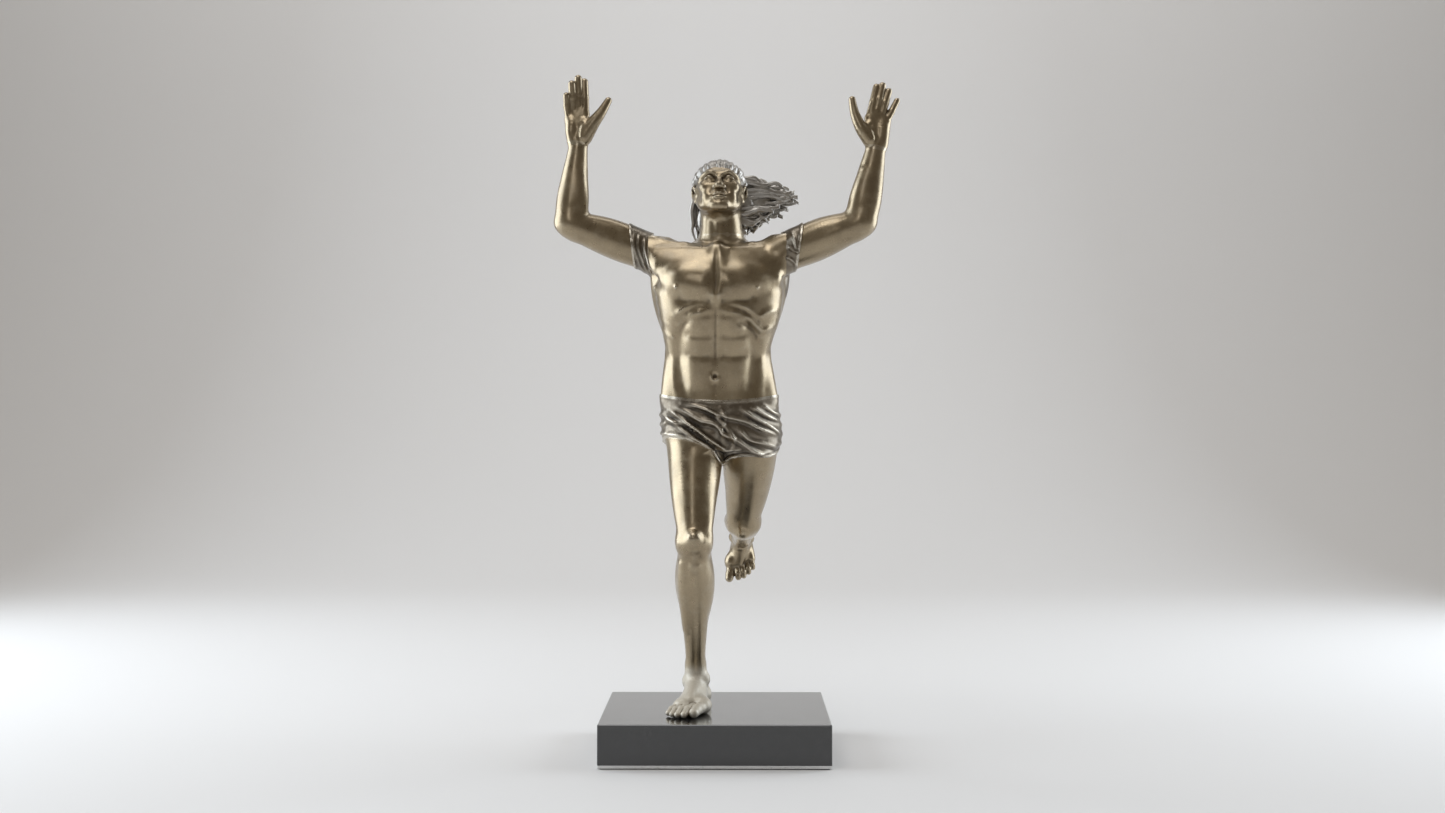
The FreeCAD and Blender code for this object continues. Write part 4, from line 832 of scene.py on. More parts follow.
def hairForms():
    hair = {
        "seed": 11, "capCentre": (0.0, 2.5, 4.5), "capSize": (18.6, 20.5, 18.8), "crownLocks": 40,
        "streamLocks": 52, "rearLocks": 14, "napeLocks": 16, "lockSize": 1.9, "strandSize": 0.58,
        "strands": 7, "streamTip": ((0, 45, 379), (0.2, 57, 372.5), (0.36, 61, 367.5), (0.55, 51, 361),
                                    (0.7, 42, 355), (0.85, 32, 350),
                      (1.0, 23, 342)),
    }
    pick = np.random.default_rng(hair["seed"])
    capCentre = vec(*hair["capCentre"])
    forms = [egg(headPoint(*(capCentre + vec(0, 3.5, -0.5))), vec(*hair["capSize"]) - vec(0.4, 2.0, 0.8),
                 headTurn(), 3.0),
             egg((20, 9, 365), (10, 9, 16), None, 4.0), egg((30, 10, 366), (13, 7.0, 10.0), None, 4.0),
             egg((-8, 12, 353), (6, 6, 11), None, 4.0), egg((3, 13.5, 351), (11, 6, 11), None, 4.0)]

    def lock(points, size, finish=0.5, wave=0.8):
        path = smoothPath(np.array(points, float), 3)
        steps = len(path) - 1
        sway = pick.uniform(0, 2 * math.pi)
        for strand in range(hair["strands"]):
            angle = strand * 1.05 + pick.uniform(-0.25, 0.25)
            spread = size * (0.0 if strand == 0 else pick.uniform(0.78, 0.98))
            previous = None
            for i, point in enumerate(path):
                share = i / steps
                ripple = wave * math.sin(share * 9.0 + sway) * share
                turn = angle + share * 2.4
                around = vec(0.3, math.cos(turn), math.sin(turn)) * spread * (1 - 0.55 * share)
                where = point + around + vec(0, 0, ripple)
                bulk = (size if strand == 0 else hair["strandSize"]) * (1 - share ** 2.2) + finish * share
                if previous is not None:
                    forms.append(bone(previous[0], where, previous[1], bulk, 0.0, 0.55))
                previous = (where, bulk)

    def onCap(side, front, lift):
        # a spot on the cap: side and front are angles from straight up
        direction = unit([math.sin(side), -math.cos(side) * math.sin(front),
                          math.cos(side) * math.cos(front)])
        size = vec(*hair["capSize"]) + lift
        return headPoint(*(capCentre + direction / np.linalg.norm(direction / size)))

    for k in range(hair["crownLocks"]):  # from the hairline back over the crown
        side = -1.42 + 2.84 * (k + pick.uniform(0.25, 0.75)) / hair["crownLocks"]
        start = 1.12 - 0.08 * abs(side)
        drift = 0.10 + 0.08 * pick.uniform(-1, 1)
        lift = pick.uniform(-0.5, 0.6)
        spots = [onCap(side, start + 0.14, lift - 2.2), onCap(side, start - 0.1, lift - 0.3),
                 onCap(side + drift * 0.4, 0.45, lift),
                 onCap(side + drift * 0.7, -0.15, lift), onCap(side + drift, -0.75, lift - 0.2),
                 onCap(side + drift * 1.2, -1.3, lift - 0.8)]
        lock(spots, hair["lockSize"] * pick.uniform(0.75, 1.1), 0.5, 0.5)
    for k in range(hair["rearLocks"]):  # second rank, filling the back of the crown
        side = -1.3 + 2.6 * (k + 0.5) / hair["rearLocks"]
        spots = [onCap(side, 0.15, 0.2), onCap(side + 0.06, -0.45, 0.4), onCap(side + 0.1, -1.0, 0.0),
                 onCap(side + 0.12, -1.6, -0.8)]
        lock(spots, hair["lockSize"])
    tip = np.array(hair["streamTip"], float)
    for k in range(hair["streamLocks"]):  # blown to the figure's left
        level = (k + pick.uniform(0.1, 0.9)) / hair["streamLocks"]
        depth = pick.uniform(-1, 1)
        startZ = 384 - 41 * level
        endX = np.interp(level, tip[:, 0], tip[:, 1]) - abs(pick.normal(0, 3.0))
        endZ = np.interp(level, tip[:, 0], tip[:, 2]) + pick.uniform(-1.5, 1.5)
        y = 8 + 9 * depth
        bend = pick.uniform(-1.8, 1.8)
        startX = 8 if level < 0.25 else 13
        spots = [(startX, y * 0.9, startZ), (20, y, startZ - 1.5 + bend * 0.5),
                 (0.55 * 20 + 0.45 * endX, y + 1.5, 0.5 * startZ + 0.5 * endZ + 1.2 - bend),
                 (0.25 * 20 + 0.75 * endX, y * 0.8 + 2.0, 0.22 * startZ + 0.78 * endZ + bend),
                 (endX, y * 0.6 + 3.0, endZ + pick.uniform(-1.0, 1.0))]
        lock(spots, hair["lockSize"] * pick.uniform(0.8, 1.25), 0.5, 2.0)
    for k in range(hair["napeLocks"]):  # behind the right ear, down to the neck
        share = (k + 0.5) / hair["napeLocks"]
        x = -16.5 + 27 * share
        y = 4 + 17 * math.sin(math.pi * min(share * 0.8 + 0.08, 1.0)) ** 0.7
        fall = 338 + 4 * share + pick.uniform(-1.0, 3.5)
        spots = [(x * 0.98, y + 3.0, 371), (x * 1.08 - 0.8, y + 2.0, 361), (x * 1.04 - 0.6, y + 0.5, 352),
                 (x + pick.uniform(-2.0, 1.0), y - 0.5, 345), (x + pick.uniform(-1.0, 2.5), y - 1.0, fall)]
        lock(spots, hair["lockSize"] * pick.uniform(0.8, 1.0), 0.45, 1.2)
    return forms


def waistBend(p):
    return 4.0 * ((p[:, 0] - 3.0) / 42.0) ** 2 - 0.5 + 0.02 * (p[:, 1] + 18.0)


def hemLevel(p):
    right = 193.0 - 0.36 * (p[:, 0] + 20.0) - 0.30 * (p[:, 1] + 12.0)
    left = 183.0 - 0.12 * (p[:, 0] - 26.0) + 0.40 * (p[:, 1] - 2.0)
    mix = smoothStep(0.0, 12.0, p[:, 0])
    return right * (1 - mix) + left * mix - 7.0 * np.exp(-((p[:, 0] - 7.0) / 8.0) ** 2)


cloth = {
    "thickness": 1.0, "hemRoll": 0.5, "hemGroove": 0.35, "waistband": 0.30, "waistbandHeight": 2.6,
    "foldHeight": 1.7, "sleeveThickness": 1.25,
}


def clothThickness(p):
    above = p[:, 2] - hemLevel(p)
    below = body["waist"] + waistBend(p) - p[:, 2]
    amount = cloth["thickness"] * (0.45 + 0.55 * smoothStep(0.0, 8.0, below))
    roll = cloth["hemRoll"] * np.exp(-((above - 1.1) / 0.9) ** 2)
    amount += roll - cloth["hemGroove"] * np.exp(-((above - 3.0) / 0.7) ** 2)
    tall = cloth["waistbandHeight"]
    band = smoothStep(-0.5, 0.6, below) * (1 - smoothStep(tall - 0.6, tall + 0.5, below))
    return amount + cloth["waistband"] * band


def foldMarks():
    high = cloth["foldHeight"]
    folds = [
        ([(-24, 219), (-14, 217), (-2, 213), (8, 209.5), (22, 206), (32, 201), (45, 197)], 1.7, 1.0),
        ([(-32, 217), (-21, 213), (-11, 207), (0, 204), (6, 197), (16, 192), (26, 185.5), (35, 181),
          (45, 181)], 2.3, 1.45),
        ([(-14, 218), (-3, 213), (5, 205), (12, 196), (13, 190), (10, 184)], 1.6, 0.9),
        ([(-36, 216), (-24, 208), (-12, 199), (-3, 192), (6, 186)], 1.9, 1.2),
        ([(-36, 207), (-20, 204), (-8, 196), (2, 189), (8, 185)], 1.6, 0.95),
        ([(-39, 211), (-30, 205), (-20, 197), (-8, 190)], 1.5, 0.8),
        ([(18, 216), (28, 209), (41, 202), (48, 197)], 1.5, 0.9),
        ([(26, 217), (36, 211), (48, 206)], 1.5, 0.9),
        ([(16, 202), (24, 193), (36, 190), (47, 187)], 1.6, 0.95),
        ([(4, 216), (7, 207), (4, 198), (7, 188)], 1.5, 0.7),
        ([(34, 218), (42, 213), (48, 211)], 1.3, 0.7),
    ]
    marks = [stroke(path, width, high * share, -1) for path, width, share in folds]
    marks += [stroke([(x, z - width * 1.55) for x, z in path], width * 1.05, -high * share * 0.38, -1)
              for path, width, share in folds]
    for s in (-1, 1):  # the same pull shows on the seat
        for k in range(5):
            z = 214 - 6.5 * k
            marks.append(stroke([(4 + s * 5, z - 8), (4 + s * 18, z - 3), (4 + s * 30, z),
                                 (4 + s * 44, z + 3)], 1.7, high * 0.7, 1))
    for k in range(4):  # round the hips
        for s in (-1, 1):
            marks.append(stroke([(2 + s * 36, -6, 213 - 7 * k), (3 + s * 44, 8, 211 - 7 * k),
                                 (4 + s * 42, 22, 213 - 7 * k)],
                                1.6, high * 0.7))
    marks.append(stroke([(4, 214), (5, 200), (6, 182)], 1.6, -1.6, 1))
    return marks


def sleeveMarks(side):
    if side == "right":
        ridges = [[(-50, 340), (-50.5, 330), (-48, 318), (-46, 311)],
                  [(-54, 343), (-55, 331), (-51.5, 319), (-47, 311)],
                  [(-58, 343), (-58, 331), (-55, 320), (-50, 312)]]
        return [stroke(path, 1.1, 0.9, facing) for path in ridges for facing in (-1, 1)]
    ridges = [[(51, 330), (55.6, 326.5), (59, 325.0)], [(50, 322), (54, 320.5), (58, 316)],
              [(54, 341), (56.5, 333), (57.5, 326)]]
    return [stroke(path, 1.1, 0.9, facing) for path in ridges for facing in (-1, 1)]


# Finishes

def newGroup(name, inputs, outputs):
    group = bpy.data.node_groups.new(name, "ShaderNodeTree")
    for label, kind in inputs:
        group.interface.new_socket(label, in_out="INPUT", socket_type=kind)
    for label, kind in outputs:
        group.interface.new_socket(label, in_out="OUTPUT", socket_type=kind)
    return group, group.nodes.new("NodeGroupInput"), group.nodes.new("NodeGroupOutput")


def addNode(tree, kind, settings=(), **values):
    node = tree.nodes.new(kind)
    for key, value in dict(settings).items():
        setattr(node, key, value)
    for key, value in values.items():
        node.inputs[key.replace("_", " ")].default_value = value
    return node


def band(tree, source, low, high, start=0.0, end=1.0):
    node = addNode(tree, "ShaderNodeMapRange", {"interpolation_type": "SMOOTHSTEP"})
    for key, value in (("From Min", low), ("From Max", high), ("To Min", start), ("To Max", end)):
        node.inputs[key].default_value = value
    tree.links.new(source, node.inputs["Value"])
    return node.outputs["Result"]


def mixColour(tree, share, first, second, blend="MIX"):
    node = addNode(tree, "ShaderNodeMix", {"data_type": "RGBA", "blend_type": blend})
    for socket, source in ((node.inputs[0], share), (node.inputs[6], first), (node.inputs[7], second)):
        if hasattr(source, "is_linked"):
            tree.links.new(source, socket)
        elif isinstance(source, (int, float)):
            socket.default_value = source
        else:
            socket.default_value = (*source, 1.0)
    return node.outputs[2]


def combine(tree, operation, first, second):
    node = addNode(tree, "ShaderNodeMath", {"operation": operation})
    for socket, source in ((node.inputs[0], first), (node.inputs[1], second)):
        if isinstance(source, (int, float)):
            socket.default_value = source
        else:
            tree.links.new(source, socket)
    return node.outputs[0]


def makePatinaGroup():
    inputs = [("Vector", "NodeSocketVector"), ("Relief", "NodeSocketFloat"), ("Painted_highlight", "NodeSocketFloat"),
              ("Metal", "NodeSocketColor"), ("Hollow", "NodeSocketColor"), ("Worn", "NodeSocketColor"),
              ("PaintedHighlightColour", "NodeSocketColor"), ("Roughness", "NodeSocketFloat"), ("Wear", "NodeSocketFloat"),
              ("Mottle", "NodeSocketFloat")]
    outputs = [("Color", "NodeSocketColor"), ("Roughness", "NodeSocketFloat"),
               ("Height", "NodeSocketFloat")]
    group, source, target = newGroup("patina", inputs, outputs)
    give = source.outputs
    # roughness each one adds
    shine = {"hollow": 0.22, "blotches": (-0.05, 0.06), "worn": 0.06, "painted_highlight": 0.40}
    grain = {"cloudy": (38.0, 3.0), "blotchy": (150.0, 5.0), "grainy": (900.0, 4.0)}

    def times(first, second):
        return combine(group, "MULTIPLY", first, second)

    def noise(scale, detail):
        node = addNode(group, "ShaderNodeTexNoise", Scale=scale, Detail=detail, Roughness=0.55)
        group.links.new(give["Vector"], node.inputs["Vector"])
        return node.outputs["Fac"]

    cloudy, blotchy, grainy = [noise(*grain[kind]) for kind in ("cloudy", "blotchy", "grainy")]
    hollow = band(group, give["Relief"], 0.49, 0.22)
    ridge = band(group, give["Relief"], 0.53, 0.80)
    mottling = times(band(group, cloudy, 0.35, 0.68), give["Mottle"])
    colour = mixColour(group, mottling, give["Metal"], give["Hollow"])
    stain = times(band(group, blotchy, 0.5, 0.72), times(give["Mottle"], 0.6))
    colour = mixColour(group, stain, colour, give["Worn"])
    hollowBroken = times(hollow, band(group, blotchy, 0.1, 0.55, 0.65, 1.0))
    colour = mixColour(group, hollowBroken, colour, give["Hollow"])
    worn = times(times(ridge, give["Wear"]), band(group, blotchy, 0.25, 0.5, 0.5, 1.0))
    colour = mixColour(group, worn, colour, give["Worn"])
    # painted highlight: pale colour laid over the masked area away from the hollows, standing in for light
    # from above
    paintedHighlightShare = times(give["Painted_highlight"], combine(group, "SUBTRACT", 1.0, times(hollow, 0.8)))
    colour = mixColour(group, paintedHighlightShare, colour, give["PaintedHighlightColour"])
    colour = mixColour(group, 0.35, colour,
                       mixColour(group, band(group, grainy, 0.3, 0.7), (0.45, 0.45, 0.45),
                                 (0.62, 0.62, 0.62)), "OVERLAY")
    group.links.new(colour, target.inputs["Color"])
    roughness = combine(group, "ADD", give["Roughness"], times(hollow, shine["hollow"]))
    roughness = combine(group, "ADD", roughness, band(group, blotchy, 0.3, 0.7, *shine["blotches"]))
    roughness = combine(group, "SUBTRACT", roughness, times(worn, shine["worn"]))
    roughness = combine(group, "ADD", roughness, times(give["Painted_highlight"], shine["painted_highlight"]))
    group.links.new(roughness, target.inputs["Roughness"])
    height = combine(group, "ADD", times(grainy, 0.35), times(blotchy, 0.65))
    group.links.new(height, target.inputs["Height"])
    return group


def startMaterial(name, **constants):
    material = bpy.data.materials.new(name)
    material.use_nodes = True
    tree = material.node_tree
    shader = tree.nodes["Principled BSDF"]
    for key, value in constants.items():
        shader.inputs[key.replace("_", " ")].default_value = value
    place = tree.nodes.new("ShaderNodeTexCoord").outputs["Object"]
    return material, tree, shader, place


def bump(tree, shader, height, strength, distance):
    node = addNode(tree, "ShaderNodeBump", Strength=strength, Distance=distance)
    tree.links.new(height, node.inputs["Height"])
    tree.links.new(node.outputs["Normal"], shader.inputs["Normal"])


def bronze(name, look, group):
    material, tree, shader, place = startMaterial(name, Metallic=1.0, Coat_Weight=look["coat"],
                                                  Coat_Roughness=look["coatRoughness"])
    node = tree.nodes.new("ShaderNodeGroup")
    node.node_tree = group
    for key in ("Metal", "Hollow", "Worn", "PaintedHighlightColour"):
        node.inputs[key].default_value = (*look[key], 1.0)
    for key in ("Roughness", "Wear", "Mottle"):
        node.inputs[key].default_value = look[key]
    tree.links.new(place, node.inputs["Vector"])
    for key in ("Relief", "Painted_highlight"):
        read = addNode(tree, "ShaderNodeAttribute", {"attribute_name": key.lower()})
        tree.links.new(read.outputs["Fac"], node.inputs[key])
    tree.links.new(node.outputs["Color"], shader.inputs["Base Color"])
    tree.links.new(node.outputs["Roughness"], shader.inputs["Roughness"])
    bump(tree, shader, node.outputs["Height"], look["bump"], 0.0004)
    return material


patina = makePatinaGroup()
finishes = {
    "skin": bronze("warmBronze", {
        "Metal": (0.345, 0.275, 0.178), "Hollow": (0.085, 0.060, 0.034), "Worn": (0.56, 0.50, 0.39),
        "PaintedHighlightColour": (0.62, 0.575, 0.49), "Roughness": 0.32, "Wear": 0.55, "Mottle": 0.22, "coat": 0.55,
        "coatRoughness": 0.2, "bump": 0.08}, patina),
    "cloth": bronze("darkBronze", {
        "Metal": (0.225, 0.19, 0.145), "Hollow": (0.048, 0.040, 0.032), "Worn": (0.62, 0.57, 0.48),
        "PaintedHighlightColour": (0.6, 0.55, 0.46), "Roughness": 0.33, "Wear": 0.75, "Mottle": 0.45, "coat": 0.2,
        "coatRoughness": 0.15, "bump": 0.20}, patina),
    "hair": bronze("greyBronze", {
        "Metal": (0.50, 0.475, 0.44), "Hollow": (0.06, 0.054, 0.048), "Worn": (0.80, 0.79, 0.76),
        "PaintedHighlightColour": (0.7, 0.68, 0.62), "Roughness": 0.38, "Wear": 0.85, "Mottle": 0.35, "coat": 0.1,
        "coatRoughness": 0.25, "bump": 0.3}, patina),
}


def stoneFinish():
    look = {"ground": (0.006, 0.006, 0.0068), "fleck": (0.022, 0.022, 0.024), "roughness": 0.14,
            "ior": 1.55}
    material, tree, shader, place = startMaterial("blackStone", IOR=look["ior"], Metallic=0.0,
                                                  Coat_Weight=1.0, Coat_Roughness=0.09)
    crystals = addNode(tree, "ShaderNodeTexVoronoi", {"feature": "F1"}, Scale=620.0, Randomness=1.0)
    clouds = addNode(tree, "ShaderNodeTexNoise", Scale=60.0, Detail=5.0)
    dust = addNode(tree, "ShaderNodeTexNoise", Scale=1500.0, Detail=3.0)
    for node in (crystals, clouds, dust):
        tree.links.new(place, node.inputs["Vector"])
    split = addNode(tree, "ShaderNodeSeparateColor")
    tree.links.new(crystals.outputs["Color"], split.inputs["Color"])
    share = combine(tree, "MULTIPLY", band(tree, split.outputs[0], 0.72, 0.97),
                    band(tree, clouds.outputs["Fac"], 0.3, 0.7, 0.45, 1.0))
    colour = mixColour(tree, share, look["ground"], look["fleck"])
    colour = mixColour(tree, band(tree, dust.outputs["Fac"], 0.66, 0.74), colour, (0.035, 0.035, 0.036))
    tree.links.new(colour, shader.inputs["Base Color"])
    tree.links.new(band(tree, clouds.outputs["Fac"], 0.3, 0.7, look["roughness"], look["roughness"] + 0.05),
                   shader.inputs["Roughness"])
    bump(tree, shader, dust.outputs["Fac"], 0.03, 0.0001)
    return material


def metalFinish(name, colour, roughness, stretch, grain=0.35):
    material, tree, shader, place = startMaterial(name, Metallic=1.0)
    turn = addNode(tree, "ShaderNodeMapping", Scale=stretch)
    lines = addNode(tree, "ShaderNodeTexNoise", Scale=160.0, Detail=6.0, Roughness=0.65)
    tree.links.new(place, turn.inputs["Vector"])
    tree.links.new(turn.outputs["Vector"], lines.inputs["Vector"])
    dark = tuple(channel * 0.82 for channel in colour)
    tree.links.new(mixColour(tree, band(tree, lines.outputs["Fac"], 0.3, 0.7), dark, colour),
                   shader.inputs["Base Color"])
    tree.links.new(band(tree, lines.outputs["Fac"], 0.25, 0.75, roughness - 0.06, roughness + 0.08),
                   shader.inputs["Roughness"])
    bump(tree, shader, lines.outputs["Fac"], grain, 0.00008)
    return material


def feltFinish():
    material, tree, shader, place = startMaterial("feltCloth", Roughness=0.95, Sheen_Weight=0.25)
    fibres = addNode(tree, "ShaderNodeTexNoise", Scale=1400.0, Detail=6.0, Roughness=0.7)
    tufts = addNode(tree, "ShaderNodeTexNoise", Scale=220.0, Detail=3.0)
    for node in (fibres, tufts):
        tree.links.new(place, node.inputs["Vector"])
    colour = mixColour(tree, band(tree, fibres.outputs["Fac"], 0.35, 0.65), (0.012, 0.012, 0.014),
                       (0.05, 0.05, 0.055))
    colour = mixColour(tree, band(tree, tufts.outputs["Fac"], 0.45, 0.7, 0.0, 0.5), colour,
                       (0.03, 0.03, 0.033))
    tree.links.new(colour, shader.inputs["Base Color"])
    bump(tree, shader, fibres.outputs["Fac"], 0.8, 0.0004)
    return material


def dress(names, material):
    for name in names:
        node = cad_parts[name]
        node.data.materials.clear()
        node.data.materials.append(material)


dress(["base_block"], stoneFinish())
dress(["trim_plate"], metalFinish("satinPlate", (0.78, 0.78, 0.77), 0.30, (1.0, 1.0, 12.0)))
dress(["felt_pad"], feltFinish())
dress(["plate_inserts"], metalFinish("turnedBrass", (0.75, 0.56, 0.24), 0.24, (1.0, 1.0, 8.0)))
fixings = ["plate_screws", "anchor_stud", "anchor_washer", "anchor_nut", "toe_pin"]
dowels = [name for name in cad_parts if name.endswith("_dowel")]
dress(fixings + dowels, metalFinish("drawnSteel", (0.56, 0.56, 0.57), 0.28, (6.0, 6.0, 1.0)))
dress(["waist_pins", "hair_pins"], metalFinish("bronzePin", (0.45, 0.31, 0.16), 0.3, (1.0, 1.0, 6.0)))
print("finishes ready")


# The figure, casting by casting

trunk = trunkForms()
arms = {side: armForms(side) for side in ("right", "left")}
legs = {side: legForms(side) for side in ("right", "left")}
heads = headForms()
sleeveCut = {"right": -55.0, "left": 55.0}


def makeTorso():
    forms = trunk + arms["right"] + arms["left"] + heads + navelAndNipples()
    cuts = [((0, 0, body["waist"] - 3.0), (0, 0, -1), waistBend), ((0, 0, body["neck"]), (0, 0, 1), None),
            ((sleeveCut["right"], 0, 0), (-1, 0, 0), None), ((sleeveCut["left"], 0, 0), (1, 0, 0), None)]
    data = sculpt(forms, trunkMarks(), 0.62, (-58, -50, 216), (58, 50, 343), cuts)
    finishPiece("torsoCasting", data, finishes["skin"], ["torso"])


def makeArm(side):
    out = -1 if side == "right" else 1
    wrist = body[side + "Wrist"]
    foreWay = unit(wrist - body[side + "Elbow"])
    forms = trunk + arms[side] + handForms(side)
    low, high = (-122, -50, 300), (-52, 40, wrist[2] + 3)
    if out > 0:
        low, high = (52, -60, 300), (124, 40, wrist[2] + 3)
    cuts = [((sleeveCut[side], 0, 0), (-out, 0, 0), None), (tuple(wrist), tuple(foreWay), None)]
    data = sculpt(forms, [], 0.5, low, high, cuts)
    finishPiece(side + "ArmCasting", data, finishes["skin"], [side + "_arm"])


def makeHand(side):
    wrist = body[side + "Wrist"]
    foreWay = unit(wrist - body[side + "Elbow"])
    forms = arms[side] + handForms(side)
    low, high = wrist - vec(28, 26, 2), wrist + vec(28, 26, 62)
    data = sculpt(forms, handMarks(side), 0.34, low, high, [(tuple(wrist), tuple(-foreWay), None)])
    finishPiece(side + "HandCasting", data, finishes["skin"], [side + "_hand"])


def makeSleeve(side):
    out = -1 if side == "right" else 1
    look = {"right": {"hem": (-60.3, 0, 330), "hemWay": (-0.99, 0, -0.10), "root": -45.0},
            "left": {"hem": (60.2, 0, 330), "hemWay": (0.99, 0, -0.12), "root": 47.0}}[side]

    def thickness(p):
        along = (p - vec(*look["hem"])) @ unit(look["hemWay"])
        amount = cloth["sleeveThickness"] * smoothStep(0.0, 8.0, (p[:, 0] - look["root"]) * out) - 0.5
        return amount + 0.35 * np.exp(-((along + 1.2) / 0.9) ** 2)

    low, high = (-64, -40, 300), (-42, 40, 350)
    if out > 0:
        low, high = (44, -40, 300), (64, 40, 350)
    cuts = [(look["hem"], look["hemWay"], None), ((look["root"], 0, 0), (-out, 0, 0), None)]
    data = sculpt(trunk + arms[side], sleeveMarks(side), 0.42, low, high, cuts, thickness)
    finishPiece(side + "SleeveCasting", data, finishes["cloth"], [side + "_sleeve"])


def makeShorts():
    forms = trunk + legs["right"] + legs["left"]
    cuts = [((0, 0, body["waist"]), (0, 0, 1), waistBend), ((0, 0, 0), (0, 0, -1), hemLevel)]
    data = sculpt(forms, foldMarks(), 0.52, (-60, -50, 160), (62, 62, 232), cuts, clothThickness)
    finishPiece("shortsCasting", data, finishes["cloth"], ["shorts"])


# painted highlight: the standing foot and ankle below about 34 mm are painted pale, standing in for
# overhead light
def footPaintedHighlight(p):
    return 1 - smoothStep(22.0, 34.0, p[:, 2])


def makeLeg(side):
    foot = rightFootForms() if side == "right" else leftFootForms()
    forms = trunk + legs[side] + foot
    if side == "right":
        low, high, seam = (-55, -60, 20), (12, 60, 206), ((0, 0, 26.0), (0, 0, -1), None)
    else:
        low, high, seam = (-4, -40, 95), (60, 128, 206), ((0, 119.5, 0), (0, 1, 0), None)
    cuts = [seam, ((0, 0, 1.4), (0, 0, 1), hemLevel)]
    data = sculpt(forms, [], 0.58, low, high, cuts)
    shine = footPaintedHighlight if side == "right" else None
    finishPiece(side + "LegCasting", data, finishes["skin"], [side + "_leg"], shine)


def makeFoot(side):
    if side == "right":
        data = sculpt(legs[side] + rightFootForms(), [], 0.40, (-48, -56, -6), (12, 36, 34),
                      [((0, 0, 26.0), (0, 0, 1), None), ((0, 0, 0.0), (0, 0, -1), None)])
        shine = footPaintedHighlight
    else:
        data = sculpt(legs[side] + leftFootForms(), [], 0.40, (-6, 112, 70), (46, 160, 132),
                      [((0, 119.5, 0), (0, -1, 0), None)])
        shine = None
    finishPiece(side + "FootCasting", data, finishes["skin"], [side + "_foot"], shine)


def makeHead():
    data = sculpt(trunk + heads, headMarks(), 0.36, (-26, -45, 334), (32, 40, 404),
                  [((0, 0, body["neck"]), (0, 0, -1), None)])
    finishPiece("headCasting", data, finishes["skin"], ["head"], None, (12, 0.4))


def makeHair():
    data = remeshed(ballMesh(hairForms()), 0.33)
    largestPart(data)
    smoothed(data, 1, 0.4)
    finishPiece("hairCasting", data, finishes["hair"], ["hair"], None, (8, 0.5))


makeTorso()
for side in ("right", "left"):
    makeArm(side)
    makeHand(side)
    makeSleeve(side)
    makeLeg(side)
    makeFoot(side)
makeShorts()
makeHead()
makeHair()


# Studio: pale sweep, soft panels and the camera

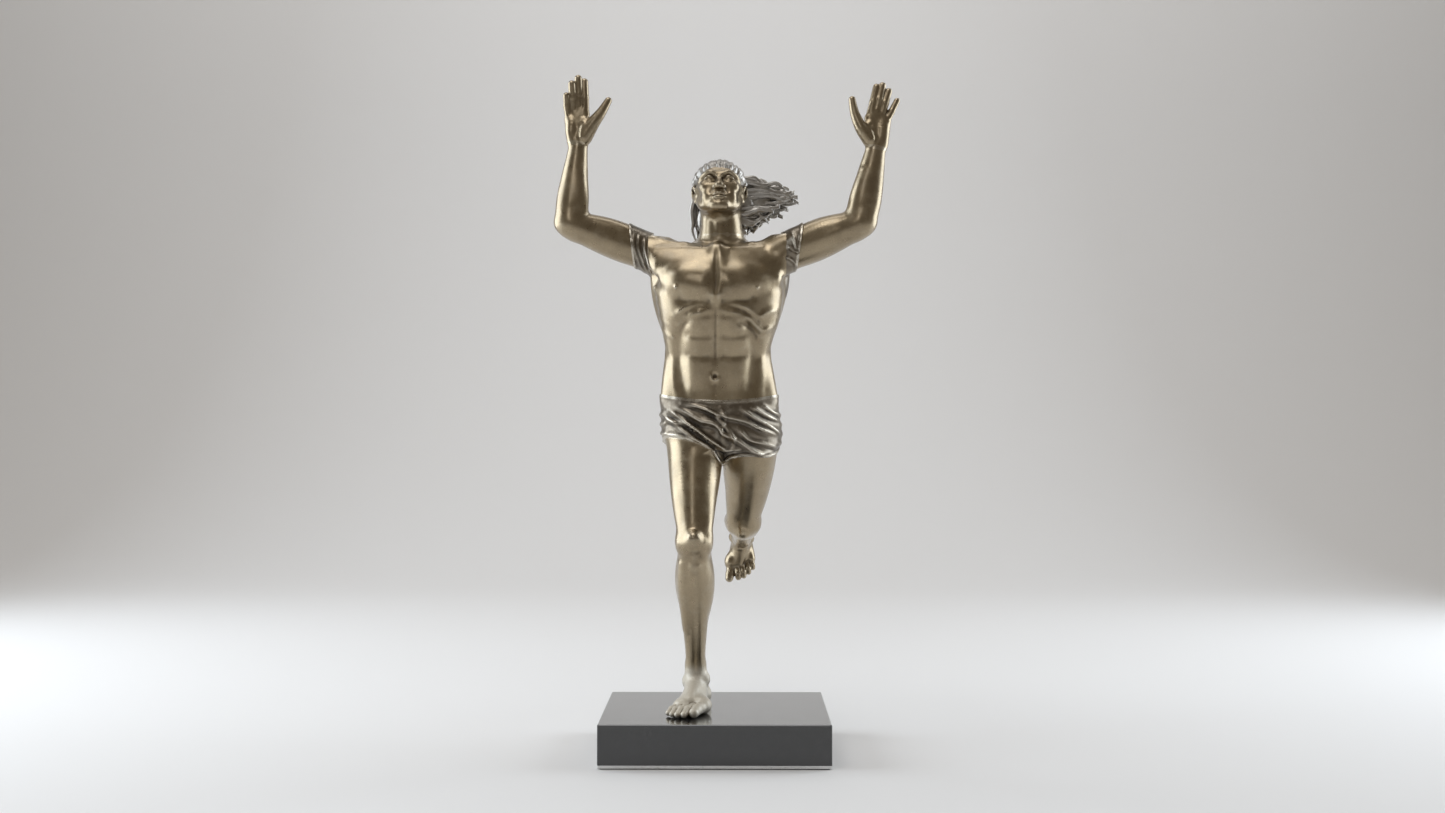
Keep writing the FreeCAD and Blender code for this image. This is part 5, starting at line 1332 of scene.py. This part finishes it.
def makeStage():
    stage = {"floorColour": 0.80, "back": 1.9, "depth": 2.6, "width": 9.0, "height": 4.0, "corner": 0.9,
             "bendSteps": 12}
    mesh = bmesh.new()
    side, corner = -stage["width"] / 2, stage["corner"]
    spots = [(side, -stage["depth"], 0.0), (side, stage["back"] - corner, 0.0)]
    for k in range(1, stage["bendSteps"] + 1):
        angle = math.pi / 2 * k / stage["bendSteps"]
        spots.append((side, stage["back"] - corner + corner * math.sin(angle),
                      corner - corner * math.cos(angle)))
    spots.append((side, stage["back"], stage["height"]))
    path = [mesh.verts.new(spot) for spot in spots]
    edges = [mesh.edges.new((path[i], path[i + 1])) for i in range(len(path) - 1)]
    made = bmesh.ops.extrude_edge_only(mesh, edges=edges)
    moved = [item for item in made["geom"] if isinstance(item, bmesh.types.BMVert)]
    bmesh.ops.translate(mesh, verts=moved, vec=(stage["width"], 0, 0))
    bmesh.ops.recalc_face_normals(mesh, faces=mesh.faces)
    data = bpy.data.meshes.new("studioSweep")
    mesh.to_mesh(data)
    mesh.free()
    data.polygons.foreach_set("use_smooth", [True] * len(data.polygons))
    material, tree, shader, place = startMaterial("palePaper", Roughness=0.9)
    paper = addNode(tree, "ShaderNodeTexNoise", Scale=3.0, Detail=2.0)
    tree.links.new(place, paper.inputs["Vector"])
    tone = stage["floorColour"]
    tree.links.new(mixColour(tree, paper.outputs["Fac"], (tone, tone * 0.99, tone * 0.982),
                             (tone * 1.01, tone, tone * 0.992)),
                   shader.inputs["Base Color"])
    data.materials.append(material)
    sweep = bpy.data.objects.new("studioSweep", data)
    bpy.context.scene.collection.objects.link(sweep)


def addPanel(name, place, target, size, power):
    light = bpy.data.lights.new(name, "AREA")
    light.shape = "RECTANGLE"
    light.size, light.size_y = size
    light.energy = power
    light.color = (0.84, 0.92, 1.0) if "Panel" in name else (1.0, 1.0, 1.0)
    lamp = bpy.data.objects.new(name, light)
    lamp.location = place
    lamp.rotation_euler = (Vector(target) - Vector(place)).to_track_quat("-Z", "Y").to_euler()
    bpy.context.scene.collection.objects.link(lamp)


def makeLights():
    lights = {
        "leftPanel": ((-1.15, 0.10, 0.45), (0, 0, 0.27), (1.0, 1.3), 15.0),
        "rightPanel": ((1.15, 0.25, 0.45), (0, 0, 0.27), (0.8, 1.3), 11.5),
        "overhead": ((-0.25, -0.45, 1.5), (0, 0, 0.2), (0.9, 0.7), 5.0),
        "frontFill": ((-0.35, -1.5, 0.9), (0, 0, 0.3), (0.3, 0.6), 1.0),
        "backdropWash": ((0.0, 0.6, 2.2), (0, 1.9, 0.8), (3.0, 0.8), 18.0),
    }
    for name, (place, target, size, power) in lights.items():
        addPanel(name, place, target, size, power)
    world = bpy.data.worlds.new("studioAir")
    world.use_nodes = True
    tree = world.node_tree
    seen = tree.nodes.new("ShaderNodeLightPath").outputs["Is Camera Ray"]
    tree.links.new(mixColour(tree, seen, (0.17, 0.15, 0.125), (0.60, 0.60, 0.61)),
                   tree.nodes["Background"].inputs["Color"])
    bpy.context.scene.world = world


def makeCamera():
    view = {"place": (0.0123, -1.025, 0.2335), "way": (-0.00713, 1.0, 0.01376), "lens": 35.3}
    camera = bpy.data.cameras.new("camera")
    camera.lens = view["lens"]
    camera.sensor_width = 36.0
    camera.clip_start = 0.01
    holder = bpy.data.objects.new("camera", camera)
    holder.location = view["place"]
    holder.rotation_euler = Vector(view["way"]).to_track_quat("-Z", "Y").to_euler()
    bpy.context.scene.collection.objects.link(holder)
    bpy.context.scene.camera = holder
    bpy.context.scene.view_settings.view_transform = "Standard"


makeStage()
makeLights()
makeCamera()
print("studio ready")
